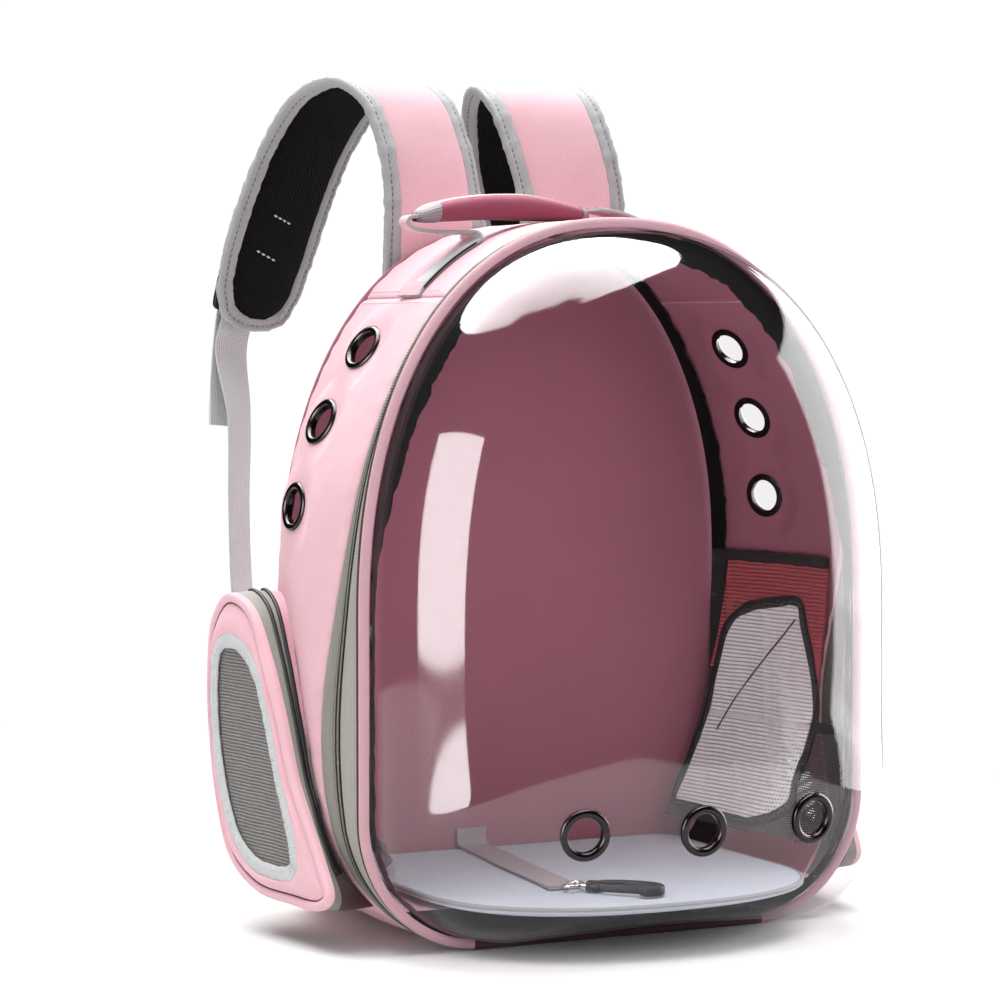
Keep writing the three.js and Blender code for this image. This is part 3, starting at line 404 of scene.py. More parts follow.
# Each finish: its recipe, its colour, how much lighter or darker that is made, and what else differs
FINISHES = {
    "pink_cloth": (woven, "pink", 1.0, {"patches": 0.35}),
    "piping_cloth": (woven, "pink", 0.74, {}),
    # inside of the walls: darker rose lining, partly painted shade of the dim inside
    "rose_lining": (woven, "rose", 1.0, {"depth": 0.0002, "flecks": 0.25}),
    # painted shade: deep rose for the grip's front and underside
    "rose_grip": (woven, "grip", 1.0, {}),
    # painted shade: a dark rose laid in grooves, gaps and folds where shade falls
    "seam_shade": (woven, "rose", 0.16, {}),
    "zip_tape": (ribbed, "tape", 1.0, {"pitch": 0.7, "roughness": 0.62, "groove": 0.86, "depth": 0.0003}),
    # painted shade: a darker copy of the zip tape for the rear tape
    "zip_tape_shade": (ribbed, "tape", 0.72, {"pitch": 0.7, "depth": 0.0003}),
    "gusset_tape": (ribbed, "tape", 0.84, {"pitch": 0.7, "groove": 0.8, "depth": 0.0003}),
    "light_webbing": (ribbed, "webbing", 1.0, {}),
    "light_binding": (ribbed, "webbing", 0.74, {"pitch": 0.6, "groove": 0.8}),
    "pale_binding": (ribbed, "webbing", 1.2, {"pitch": 0.5, "groove": 0.7}),
    "tether_webbing": (ribbed, "tether", 1.0, {}),
    "wrap_webbing": (ribbed, "tether", 0.6, {}),
    "black_tape": (ribbed, "black", 1.0, {"pitch": 0.6, "gloss": 0.12}),
    "black_spacer": (spacer, "black", 1.0, {}),
    "red_net": (netted, "red_net", 1.0, {"level": 0.28, "upright": 0.2}),
    "dark_mesh": (netted, "black", 6.0, {"level": 0.3, "upright": 0.25, "pitch": 0.6}),
    "mesh_tape": (netted, "black", 2.0, {"level": 0.36, "upright": 0.34, "pitch": 0.5}),
    "grey_net": (netted, "net", 1.0, {"level": 0.25, "upright": 0.23, "pitch": 0.8}),
    "pale_net": (netted, "pale_net", 1.0, {"level": 0.33, "upright": 0.2, "glow": 0.2}),
    "zip_coil": (mottled, "coil", 1.0, {"length": 0.003, "dark": 0.7, "light": 1.3, "roughness": 0.45}),
    "black_coil": (
        mottled,
        "black",
        1.0,
        {"length": 0.003, "dark": 0.8, "light": 2.0, "roughness": 0.5, "gloss": 0.2},
    ),
    "thread": (mottled, "webbing", 1.0, {"length": 0.001, "dark": 0.6, "light": 1.3, "roughness": 0.7}),
    "dark_thread": (
        mottled,
        "webbing",
        1.0,
        {"length": 0.001, "dark": 0.12, "light": 0.35, "roughness": 0.7},
    ),
    "clear_bubble": (clear, "bubble", 1.0, {}),
    "eyelet_metal": (polished, "metal", 1.0, {"roughness": 0.24}),
    "swivel_metal": (polished, "nickel", 1.0, {"roughness": 0.28}),
    "black_plastic": (moulded, "plastic", 1.0, {}),
    "pale_mat": (brushed, "mat", 1.0, {}),
    "studio_floor": (matt, "floor", 1.0, {}),
}


def finish_of(name):
    """The material of this name, made once from its row in the table."""
    made = bpy.data.materials.get(f"{name}_finish")
    if made:
        return made
    recipe, colour, by, settings = FINISHES[name]
    return recipe(name, scaled(getattr(colours(), colour), by), **settings)


# Arrays


def mix(first, last, share):
    """A value part of the way from first to last."""
    return first + (last - first) * share


def ease(value, low, high):
    """Smooth step from 0 at low to 1 at high."""
    share = np.clip((value - low) / (high - low), 0, 1)
    return share * share * (3 - 2 * share)


def unit(vectors):
    """Vectors brought to length 1."""
    return vectors / np.maximum(np.linalg.norm(vectors, axis=-1, keepdims=True), 1e-9)


def points_at(*parts):
    """Points whose coordinates are these arrays, spread to one shape."""
    return np.stack(np.broadcast_arrays(*parts), -1)


def bent(values, power):
    """Signed power: the smaller it is, the squarer it makes a circle's sine and cosine."""
    return np.sign(values) * np.abs(values) ** power


def hump(values, middle, width):
    """A bell curve of height 1 round a middle."""
    return np.exp(-(((values - middle) / width) ** 2))


def ripple(u, v, length, seed=0.0):
    """Unevenness of cloth from -1 to 1: the mean of five sine waves of about this length, each turned."""
    total = 0.0
    for wave in range(5):
        angle = 2.4 * wave + seed
        pace = TURN / (length * (0.7 + 0.17 * wave))
        total = total + np.sin(pace * (u * math.cos(angle) + v * math.sin(angle)) + 1.7 * wave**2 + seed)
    return total / 5


def run_length(points):
    """Length from the first point of a path to each of its points."""
    steps = np.linalg.norm(np.diff(points, axis=0), axis=-1)
    return np.concatenate([[0.0], np.cumsum(steps)])


def curve(rows, places, loop=False):
    """Smooth curve through rows of points, read at places from 0 to 1: on each span a cubic leaves and
    arrives with slopes weighed by the square roots of the neighbouring spans."""
    rows = np.asarray(rows, float)
    count = len(rows)
    spans = count if loop else count - 1
    if loop:
        padded = np.concatenate([rows[-1:], rows, rows[:2]])
    else:
        padded = np.concatenate([2 * rows[:1] - rows[1:2], rows, 2 * rows[-1:] - rows[-2:-1]])
    place = np.mod(places, 1.0) * spans if loop else np.asarray(places, float) * spans
    span = np.clip(np.floor(place).astype(int), 0, spans - 1)
    t = (place - span)[:, None]
    before, first, last, after = (padded[span + k] for k in range(4))
    d0, d1, d2 = (
        np.maximum(np.linalg.norm(b - a, axis=-1, keepdims=True), 1e-4) ** 0.5
        for a, b in ((before, first), (first, last), (last, after))
    )
    leave = ((first - before) / d0 - (last - before) / (d0 + d1) + (last - first) / d1) * d1
    arrive = ((last - first) / d1 - (after - first) / (d1 + d2) + (after - last) / d2) * d1
    square = -3 * first + 3 * last - 2 * leave - arrive
    cube = 2 * first - 2 * last + leave + arrive
    return first + leave * t + square * t**2 + cube * t**3


def normals_of(points, away):
    """Unit normals of a grid: the cross product of its two gradients, turned away from a point."""
    normal = unit(np.cross(np.gradient(points, axis=0), np.gradient(points, axis=1)))
    side = np.sign(np.sum(normal * (points - np.asarray(away)), axis=-1, keepdims=True))
    return normal * np.where(side == 0, 1, side)


def inside(y, z, outline):
    """True where points lie in a closed outline: an odd number of its edges stand beyond them."""
    odd = np.zeros(np.shape(y), bool)
    for (y0, z0), (y1, z1) in zip(outline, np.roll(outline, -1, axis=0)):
        crosses = (z0 > z) != (z1 > z)
        reach = (y1 - y0) * (z - z0) / (z1 - z0 if z1 != z0 else 1e-9) + y0
        odd ^= crosses & (y < reach)
    return odd


# Meshes


class Shell:
    """Faces on a grid of points: rows by columns, with a map in millimetres and a finish for each face."""

    def __init__(self, points, uv=None, finish=0, keep=None):
        rows, columns = points.shape[-3:-1]
        copies = points.reshape(-1, rows, columns, 3)
        if uv is None:
            across = np.linalg.norm(np.diff(copies[0], axis=1), axis=-1).mean(axis=0)
            along = np.linalg.norm(np.diff(copies[0], axis=0), axis=-1).mean(axis=1)
            u = np.concatenate([[0.0], np.cumsum(across)])
            v = np.concatenate([[0.0], np.cumsum(along)])
            uv = np.stack(np.meshgrid(u, v), -1)
        index = np.arange(rows * columns).reshape(rows, columns)
        corners = [index[:-1, :-1], index[:-1, 1:], index[1:, 1:], index[1:, :-1]]
        quads = np.stack(corners, -1).reshape(-1, 4)
        kinds = np.broadcast_to(finish, (rows - 1, columns - 1)).reshape(-1)
        if keep is not None:
            quads = quads[keep.reshape(-1)]
            kinds = kinds[keep.reshape(-1)]
        shift = (np.arange(len(copies)) * rows * columns)[:, None, None]
        self.points = copies.reshape(-1, 3)
        self.faces = (quads[None] + shift).reshape(-1, 4)
        self.uv = np.tile(uv.reshape(-1, 2)[quads], (len(copies), 1, 1))
        self.kinds = np.tile(kinds, len(copies))


def placed(name, data):
    """A new object in the scene that shows this mesh, light or camera."""
    item = bpy.data.objects.new(name, data)
    bpy.context.scene.collection.objects.link(item)
    return item


def make(
    name, shells, finishes, stands_for=(), slot=None, body_name="carrier", wall=0.0, away=None, sharp=55
):
    """Puts shells into one mesh at the origin, welds seams and poles, turns the faces outwards (away from a
    point, where it is an open sheet), thickens a sheet inwards by wall, and hangs the piece on its body."""
    starts = np.cumsum([0] + [len(shell.points) for shell in shells[:-1]])
    points = np.concatenate([shell.points for shell in shells]) * MM
    faces = np.concatenate([shell.faces + start for shell, start in zip(shells, starts)])
    mesh = bpy.data.meshes.new(name)
    mesh.from_pydata(points.tolist(), [], faces.tolist())
    layer = mesh.uv_layers.new(name="mm")
    layer.data.foreach_set("uv", np.concatenate([shell.uv for shell in shells]).ravel())
    kinds = np.concatenate([shell.kinds for shell in shells]).astype(np.int32)
    mesh.polygons.foreach_set("material_index", kinds)
    work = bmesh.new()
    work.from_mesh(mesh)
    bmesh.ops.remove_doubles(work, verts=work.verts, dist=4e-6)
    if away is None:
        bmesh.ops.recalc_face_normals(work, faces=work.faces)
    loose = [vertex for vertex in work.verts if not vertex.link_faces]
    bmesh.ops.delete(work, geom=loose, context="VERTS")
    work.to_mesh(mesh)
    work.free()
    if away is not None:
        turn_away(mesh, np.asarray(away) * MM)
    mesh.shade_smooth()
    mesh.set_sharp_from_angle(angle=math.radians(sharp))
    for finish in finishes:
        mesh.materials.append(finish_of(finish))
    piece = placed(name, mesh)
    if wall:
        solid = piece.modifiers.new("wall", "SOLIDIFY")
        solid.thickness = wall * MM
        solid.offset = -1
        solid.material_offset = 1 if len(finishes) > 1 else 0
    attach(piece, body_name)
    if stands_for:
        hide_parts(*stands_for)
    return piece


def turn_away(mesh, point):
    """Flips an open sheet whose faces point, on the whole, towards a point."""
    count = len(mesh.polygons)
    normals = np.empty(count * 3, np.float32)
    centres = np.empty(count * 3, np.float32)
    mesh.polygons.foreach_get("normal", normals)
    mesh.polygons.foreach_get("center", centres)
    outwards = (normals.reshape(-1, 3) * (centres.reshape(-1, 3) - point)).sum()
    if outwards < 0:
        mesh.flip_normals()


def make_side(side, name, shells, finishes, stands_for=None, slot=None, **settings):
    """Makes a piece of the left side, or its mirror image on the right, with the side in its name."""
    if side == "right":
        for shell in shells:
            shell.points = shell.points * (-1, 1, 1)
    nodes = [f"{stands_for}_{side}"] if stands_for else []
    return make(f"{name}_{side}", shells, finishes, nodes, slot, **settings)


def slab(outer, inner, finish=0):
    """A closed strip between two grids: each row runs over the outer grid and back under the inner one, and
    the end rows close on the line half way between."""
    middle = (outer + inner) / 2
    over = np.concatenate([outer, inner[:, ::-1], outer[:, :1]], axis=1)
    flat = np.concatenate([middle, middle[:, ::-1], middle[:, :1]], axis=1)
    return Shell(np.concatenate([flat[:1], over, flat[-1:]]), finish=finish)


def ring_edges(outer, inner):
    """The two strips that close a ring-shaped piece between its outer and its inner grid."""
    return [Shell(np.stack([outer[:, edge], inner[:, edge]], 1)) for edge in (0, -1)]


def capped(rings):
    """Rings whose two ends are closed, each on its own middle."""
    first, last = (np.broadcast_to(rings[row].mean(axis=0), rings[:1].shape) for row in (0, -1))
    return np.concatenate([first, rings, last])


def sweep(path, across, profile, finish=0, lift=None):
    """A closed profile (across, out) carried along a path: across is made square to the path, out is their
    cross product, and each end closes on its own middle."""
    along = unit(np.gradient(path, axis=0))
    across = unit(across - along * np.sum(across * along, axis=-1, keepdims=True))
    out = np.cross(along, across) if lift is None else lift
    profile = np.broadcast_to(profile, (len(path), *profile.shape[-2:]))
    rings = path[:, None] + across[:, None] * profile[..., :1] + out[:, None] * profile[..., 1:]
    return Shell(capped(rings), finish=finish)


def oval(width, thickness, square, count):
    """Closed superellipse profile: the larger square, the flatter its sides."""
    angle = np.linspace(0, TURN, count + 1)
    x = bent(np.cos(angle), 2 / square) * width / 2
    y = bent(np.sin(angle), 2 / square) * thickness / 2
    x[-1], y[-1] = x[0], y[0]
    return points_at(x, y)


def stitches(path, up, length, gap, width, finish=0):
    """A row of stitches: small spindles, pointed at both ends, along a path and lying on its up side."""
    run = run_length(path)
    count = max(int(run[-1] / (length + gap)), 1)
    middles = (np.arange(count) + 0.5) * run[-1] / count
    along = unit(np.gradient(path, axis=0))

    def at(values):
        return np.stack([np.interp(middles, run, values[:, axis]) for axis in range(3)], -1)

    centre = at(path)[:, None, None]
    ahead = unit(at(along))[:, None, None]
    top = unit(at(np.broadcast_to(up, path.shape)))[:, None, None]
    side = np.cross(ahead, top)
    place = np.linspace(-1, 1, 5)[None, :, None, None]
    angle = np.linspace(0, TURN, 6)[None, None, :, None]
    girth = width / 2 * np.sqrt(np.clip(1 - place**2, 0, 1))
    around = side * girth * np.cos(angle) + top * girth * np.sin(angle)
    return Shell(centre + ahead * place * length / 2 + around, finish=finish)


# Body surface, as in the CAD part


def back_at(z):
    """Depth of the back panel's outside at height z: it leans forwards."""
    return BACK_FOOT_Y - BACK_LEAN * z


def section(y, z):
    """Half width, corner radius and bulge of the body at depth y and height z: blends from frame to back,
    with a bulge that is largest half way back and fades towards floor and shoulders."""
    share = np.clip((y - FRAME_Y) / (back_at(z) - FRAME_Y), 0, 1)
    rise = ease(z, 0, 90) * (1 - ease(z, 250, 350))
    bulge = 40 * share * (1 - share) * rise
    return mix(FRAME_HALF_WIDTH, BACK_HALF_WIDTH, share), mix(FRAME_CORNER, BACK_CORNER, share), bulge


def outline(a, half_width, corner):
    """Arch outline (x, z) at loop position a, from the middle of the bottom round by +x: a flat bottom, a
    round corner, an upright side and a superellipse arch, mirrored past one half."""
    around = np.mod(a, 1.0)
    along = np.where(around > 0.5, 1 - around, around)
    bend = np.clip((along - 0.07) / 0.09, 0, 1) * QUARTER
    arch = np.clip((along - 0.25) / 0.25, 0, 1) * QUARTER
    upright = np.clip((along - 0.16) / 0.09, 0, 1)
    places = [along < 0.07, along < 0.16, along < 0.25]
    flat = along / 0.07 * (half_width - corner)
    round_x = half_width - corner + corner * np.sin(bend)
    round_z = SKIRT_Z + corner * (1 - np.cos(bend))
    arch_x = half_width * np.maximum(np.cos(arch), 0) ** ARCH_POWER
    arch_z = mix(WIDEST_Z, HEIGHT, np.sin(arch) ** ARCH_POWER)
    x = np.select(places, [flat, round_x, half_width + 0 * along], arch_x)
    side_z = mix(SKIRT_Z + corner, WIDEST_Z, upright)
    z = np.select(places, [SKIRT_Z + 0 * along, round_z, side_z], arch_z)
    return np.where(around > 0.5, -x, x), z


def height_at(a):
    """Height of the wall at loop position a, half way back."""
    half_width, corner, _ = section(0.0, WIDEST_Z)
    return outline(np.asarray(a, float), half_width, corner)[1]


def outward_at(a, half_width, corner):
    """Direction (x, z) out of the outline: its tangent turned by a quarter."""
    x1, z1 = outline(a + 0.002, half_width, corner)
    x0, z0 = outline(a - 0.002, half_width, corner)
    along = unit(points_at(x1 - x0, z1 - z0))
    return along[..., 1], -along[..., 0]


def body(a, y, inset=0.0):
    """Point of the body's outside at loop position a and depth y, sunk inwards by inset."""
    half_width, corner, bulge = section(y, height_at(a))
    x, z = outline(a, half_width, corner)
    out_x, out_z = outward_at(a, half_width, corner)
    push = bulge - inset
    return points_at(x + out_x * push, y, z + out_z * push)


def station(index):
    """Loop position of the CAD part's numbered stations, 0 to 40."""
    return mix(0.07, 0.93, index / 40)


def spaced(first, last, count):
    """Loop positions evenly spaced along the wall: length summed over fine steps and read back."""
    fine = np.linspace(first, last, 4000)
    run = run_length(body(fine, np.zeros(fine.shape)))
    return np.interp(np.linspace(0, run[-1], count), run, fine)


def wall_grid(a, front, rear, share, inset=0.0):
    """Grid on the body's wall: loop positions down the rows, shares of the way from front to rear across."""
    height = height_at(a)[:, None]
    y = mix(front(height), rear(height), share[None, :])
    return body(a[:, None] + 0 * y, y, inset)


def zip_bulge(z):
    """How far the main zip widens at height z, from 0 to 1."""
    return hump(z, 119, 90)


def zip_rear(z):
    """Depth of the main zip's rear edge."""
    return ZIP_FRONT + mix(7.0, 44.0, zip_bulge(z))


def coil_width(z):
    """Width of the main zip's teeth."""
    return mix(3.2, 8.0, zip_bulge(z))


def coil_front(z):
    """Depth of the teeth's front edge."""
    return mix(ZIP_FRONT, zip_rear(z) - coil_width(z), 0.55)


def coil_rear(z):
    """Depth of the teeth's rear edge."""
    return coil_front(z) + coil_width(z)


def panel_front(z):
    """Depth of the cloth walls' front edge."""
    return zip_rear(z) + 0.3


def panel_rear(z):
    """Depth of the cloth walls' rear edge."""
    return back_at(z) - BACK_PAD - 0.3


def body_half_width(y, z):
    """Half width of the body's outside at depth y and height z."""
    half_width, corner, bulge = section(y, z)
    low = np.sqrt(np.maximum(corner**2 - np.maximum(SKIRT_Z + corner - z, 0) ** 2, 0))
    rise = np.maximum((z - WIDEST_Z) / (HEIGHT - WIDEST_Z), 0)
    high = half_width * (1 - rise ** (2 / ARCH_POWER)) ** (ARCH_POWER / 2)
    return bulge + np.where(z < SKIRT_Z + corner, half_width - corner + low, high)


def body_top(x, y):
    """Height of the body's top at depth y and distance x from the middle."""
    reach = np.abs(x) / section(y, HEIGHT)[0]
    return mix(WIDEST_Z, HEIGHT, (1 - reach ** (2 / ARCH_POWER)) ** (ARCH_POWER / 2))


def eyelet_frame(node, rise, lean):
    """Axis of an eyelet and its middle on the wall, read from its CAD solid: the axis is the direction in
    which its vertices spread least, turned out of the body; the wall lies rise below its top; then the axis
    leans to the front."""
    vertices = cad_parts[node].data.vertices
    points = np.empty(len(vertices) * 3, np.float32)
    vertices.foreach_get("co", points)
    points = points.reshape(-1, 3).astype(float) / MM
    middle = (points.min(axis=0) + points.max(axis=0)) / 2
    axis = np.linalg.svd(points - middle)[2][-1]
    axis = axis * np.sign(axis @ (middle - BODY_MIDDLE))
    seat = middle + axis * (((points - middle) @ axis).max() - rise)
    return unit(axis - np.array([0, math.tan(lean), 0])), seat


def settle(points, axis, seat):
    """Lays the cloth near an eyelet into the eyelet's plane: its height over that plane fades in with
    distance."""
    reach = points - seat
    height = reach @ axis
    distance = np.linalg.norm(reach - height[..., None] * axis, axis=-1)
    near = (1 - ease(distance, 15, 34)) * (np.abs(height) < 30)
    return points - axis * (height * near)[..., None]


def bore(points, keep, axis, middle, radius):
    """Cuts a round hole in a grid: faces whose middle is nearer the axis than radius go, and points that
    stand inside it move out to its edge."""
    reach = points - middle
    flat = reach - (reach @ axis)[..., None] * axis
    distance = np.linalg.norm(flat, axis=-1)
    near = np.abs(reach @ axis) < 30
    grow = np.where(near & (distance < radius), radius / np.maximum(distance, 1e-3) - 1, 0)
    centre = (distance[:-1, :-1] + distance[1:, :-1] + distance[:-1, 1:] + distance[1:, 1:]) / 4
    return points + flat * np.minimum(grow, 3)[..., None], keep & ~((centre < radius) & near[:-1, :-1])


# Pockets' outlines, depth y and height z from the top round by the rear

POCKET_OUTLINE = np.array(
    [
        (54, 199), (72, 183), (78, 150), (76, 112), (68, 74), (52, 42), (20, 26), (-22, 23.5),
        (-55, 25), (-66, 34), (-57, 52), (-42, 74), (-27, 97), (-13, 130), (4, 164), (26, 193),
    ],
    float,
)
WINDOW_OUTLINE = np.array(
    [
        (52, 175), (64.5, 167), (69.5, 145), (66.5, 109), (57, 78), (42, 53), (20, 39.5), (-9, 36.5),
        (-28, 39.5), (-34, 47), (-32, 60), (-24.5, 79), (-14, 102), (-2, 133), (11, 158), (31, 173),
    ],
    float,
)
# Distance of a pocket's face from the middle plane at its front, and how much it grows towards the rear
POCKET_REACH = 177
POCKET_SPLAY = 0.12


def closed_edge(rows, places):
    """Points of a smooth closed outline and their outward directions: its tangent turned by a quarter."""
    points = curve(rows, places, loop=True)
    along = unit(curve(rows, places + 0.001, loop=True) - curve(rows, places - 0.001, loop=True))
    return points, points_at(-along[:, 1], along[:, 0])


def face_point(yz, lift):
    """Point of the left pocket's splayed face, lifted outwards."""
    y, z = yz[..., 0], yz[..., 1]
    return points_at(-(POCKET_REACH + POCKET_SPLAY * (y + 70)) - lift, y, z)


def gusset_point(yz, out, depth, push):
    """Point of the left pocket's gusset: depth 0 at the face's edge, 1 at the wall, pushed outwards."""
    y, z = yz[..., 0], yz[..., 1]
    landing = np.maximum(y, zip_rear(z) + 5)
    start = face_point(yz, -2.3)
    end = points_at(-body_half_width(landing, z) - 0.3, landing, z)
    return mix(start, end, depth) + points_at(0, out[..., 0], out[..., 1]) * push


# Shoulder straps: distance of the left and the right one from the middle plane, depth, height, turn, width

STRAP_ROWS = np.array(
    [
        (48, 48, 68.8, 384, 0, 70), (48, 48, 67.6, 408, 1, 70), (49, 47, 70, 440, 9, 70),
        (52, 42, 76, 470, 12, 70), (58, 37, 90, 497, 12, 70), (68, 36, 112, 508, 12, 71),
        (81, 44, 139, 500, 13, 72), (91, 58, 166, 472, 14, 72), (100, 75, 185, 434, 14, 72),
        (107, 86, 195, 402, 14, 71), (111, 92, 201, 380, 14, 66), (114, 96, 205, 357, 14, 44),
    ],
    float,
)
BUCKLE_V = 0.92
BUCKLE_SHIFT = -8.0
BUCKLE_MIDDLE = 8.7
SIDES = ("left", "right")


class Strap:
    """Centre line and axes of a shoulder strap, in the left one's place."""

    def __init__(self, side):
        self.rows = STRAP_ROWS.copy()
        self.rows[:, 0] = -STRAP_ROWS[:, SIDES.index(side)]
        self.shift = self.rows[-1, 0] + STRAP_ROWS[-1, 0]

    def value(self, column, v):
        return np.interp(v * (len(self.rows) - 1), np.arange(len(self.rows)), self.rows[:, column])

    def axes(self, v):
        """Centre, along, across and out of the cloth side at places v from 0 at the back to 1 below."""
        line = self.rows[:, [0, 2, 3]]
        centre = curve(line, v)
        along = unit(curve(line, np.clip(v + 0.002, 0, 1)) - curve(line, np.clip(v - 0.002, 0, 1)))
        turn = np.radians(self.value(4, v))
        across = points_at(np.cos(turn), np.sin(turn), 0)
        across = unit(across - along * np.sum(across * along, axis=-1, keepdims=True))
        return centre, along, across, -np.cross(along, across)

    def point(self, v, sideways, height):
        centre, _, across, out = self.axes(v)
        return centre + across * sideways[..., None] + out * height[..., None]

    def beside_buckle(self, down, sideways, height):
        """Point beside the ladder lock: down the strap, across it, and out from its middle."""
        centre, along, across, out = (axis[0] for axis in self.axes(np.array([BUCKLE_V])))
        down, sideways, height = (np.asarray(value, float)[..., None] for value in (down, sideways, height))
        return centre + along * down + across * (BUCKLE_SHIFT + sideways) + out * height


# Pieces


def wall_panel(first, last, rows, columns, top_seam):
    """A cloth wall between two stations: the body's surface with rolled seams, puckers and soft wrinkles."""
    a = spaced(first, last, rows)
    share = np.linspace(0, 1, columns)
    flat = wall_grid(a, panel_front, panel_rear, share)
    height = height_at(a)[:, None]
    depth = (panel_rear(height) - panel_front(height)) * share[None, :]
    run = run_length(flat[:, columns // 2])[:, None]
    to_zip, to_back = depth, depth[:, -1:] - depth
    to_top = np.minimum(*[np.abs(run - seam) for seam in top_seam(run)]) + 0 * depth
    roll = sizes().seam_roll / MM
    wrinkle = sizes().wrinkle / MM
    dive = roll * (np.exp(-to_zip / 2.4) + np.exp(-to_back / 2.4) + np.exp(-to_top / 1.8))
    to_edge = np.minimum(to_zip, to_back)
    pucker = 0.35 * np.sin(run * TURN / 17 + 2 * ripple(run, depth, 60)) * np.exp(-to_edge / 9)
    swell = wrinkle * ripple(run, depth, 70, 0.6) + 0.35 * wrinkle * ripple(run, depth, 24, 1.9)
    edge = ease(np.minimum(to_edge, to_top), 0, 14)
    normal = normals_of(flat, BODY_MIDDLE)
    return flat + normal * (swell * edge + pucker - dive)[..., None], points_at(depth, run)


def side_panels():
    """Side walls from the top seam down round the bottom corners, with eyelet holes and pocket openings."""
    for side in SIDES:
        points, uv = wall_panel(station(25), station(40), 232, 66, lambda run: (run[0], run[0] - 90))
        keep = np.ones((points.shape[0] - 1, points.shape[1] - 1), bool)
        for index in (1, 2, 3):
            axis, seat = eyelet_frame(f"grommet_left_{index}", *EYELET_SEATS[side])
            points, keep = bore(settle(points, axis, seat), keep, axis, seat, EYELET_BORE)
        edge, out = closed_edge(POCKET_OUTLINE, np.linspace(0, 1, 80, endpoint=False))
        opening = edge - out * 14
        opening[:, 0] = np.maximum(opening[:, 0], zip_rear(opening[:, 1]) + 14)
        centre = (points[:-1, :-1] + points[1:, 1:]) / 2
        keep &= ~inside(centre[..., 1], centre[..., 2], opening)
        shells = [Shell(points, uv, keep=keep)]
        # the inside of the wall takes the lining's darker rose, partly painted shade
        finishes = ["pink_cloth", "rose_lining"]
        sheet = {"wall": CLOTH, "away": BODY_MIDDLE}
        make_side(side, "side_panel_cloth", shells, finishes, "side_panel", "pink_cloth", **sheet)


def top_panel():
    """Top panel between the two side panels."""
    points, uv = wall_panel(station(15), station(25), 150, 66, lambda run: (run[0], run[-1]))
    # the inside takes the lining's darker rose, partly painted shade
    finishes = ["pink_cloth", "rose_lining"]
    sheet = {"wall": CLOTH, "away": BODY_MIDDLE}
    make("top_panel_cloth", [Shell(points, uv)], finishes, ["top_panel"], "pink_cloth", **sheet)


def base():
    """Stiff base: a keel whose sides follow the body's round corners, its front painted black as shade."""
    y = np.linspace(ZIP_FRONT, panel_rear(BASE_HEIGHT), 30)[:, None]
    half_width, corner, _ = section(y, 0.0)
    radius = corner - 4.5
    top = np.arccos((SKIRT_Z + corner - BASE_HEIGHT) / radius)
    angle = np.linspace(0, 1, 16)[None, :] * top
    keel = half_width - corner - 0.3
    side_x = np.maximum(keel, half_width - corner + radius * np.sin(angle))
    side_z = SKIRT_Z + corner - radius * np.cos(angle)
    right_x = np.concatenate([keel, side_x], axis=1)
    right_z = np.concatenate([0 * keel, side_z], axis=1)
    x = np.concatenate([right_x, -right_x[:, ::-1], right_x[:, :1]], axis=1)
    z = np.concatenate([right_z, right_z[:, ::-1], right_z[:, :1]], axis=1)
    # painted shade: the front cap takes the black finish where the mat shades it
    front = (np.arange(len(y) + 1) == 0).astype(int)
    shell = Shell(capped(points_at(x, y, z)), finish=front[:, None])
    make("base_cloth", [shell], ["pink_cloth", "black_tape"], ["base_panel"], "pink_cloth", sharp=35)


def back_pad():
    """Padded back: the arch outline drawn in towards its middle, thick in the field and thin at the rim, with
    a sewn line round the outside."""
    sewn_at = 0.925
    a = np.linspace(0, 1, 211)[:, None]
    rim_x, rim_z = outline(a, BACK_HALF_WIDTH, BACK_CORNER)
    share = np.sin(np.linspace(0, QUARTER, 46))[None, :]
    x = rim_x * share
    z = mix(200.0, rim_z, share)
    plump = np.sqrt(np.clip(1 - share**14, 0, 1))
    sewn = hump(share, sewn_at, 0.012)
    soft = ripple(x, z, 90) * (1 - share**6)
    rear = back_at(z) - 3 + 3 * plump + 0.9 * (1 - share**4) - 1.5 * sewn + 0.6 * soft
    front = back_at(z) - 3 - 3 * plump - 0.6 * soft + 0.4 * (1 - share**2)
    outer = points_at(x, rear, z)
    uv = points_at(x, z)
    # the inner shell takes the lining's darker rose, partly painted shade
    shells = [Shell(outer, uv, 0), Shell(points_at(x, front, z), uv, 1)]
    pad = make("back_pad", shells, ["pink_cloth", "rose_lining"], ["back_panel"], "pink_cloth", sharp=80)
    line = outer[:, np.argmin(np.abs(share[0] - sewn_at))] + (0, 0.5, 0)
    row = stitches(line, (0, 1, 0), sizes().stitch / MM, 1.2, 0.8)
    make("back_stitches", [row], ["thread"], slot="light_webbing")


def seam_stitches():
    """Twin rows of stitches beside the seams between top and side panels."""
    y = np.linspace(-60, 52, 60)
    shells = []
    for index in (15, 25):
        for offset in (-0.0042, 0.0042):
            a = np.full(y.shape, station(index) + offset)
            path = body(a, y, -0.15)
            up = unit(path - points_at(0, y, 150))
            shells.append(stitches(path, up, sizes().stitch / MM, 1.0, 0.7))
    make("seam_stitches", shells, ["thread"], slot="light_webbing")


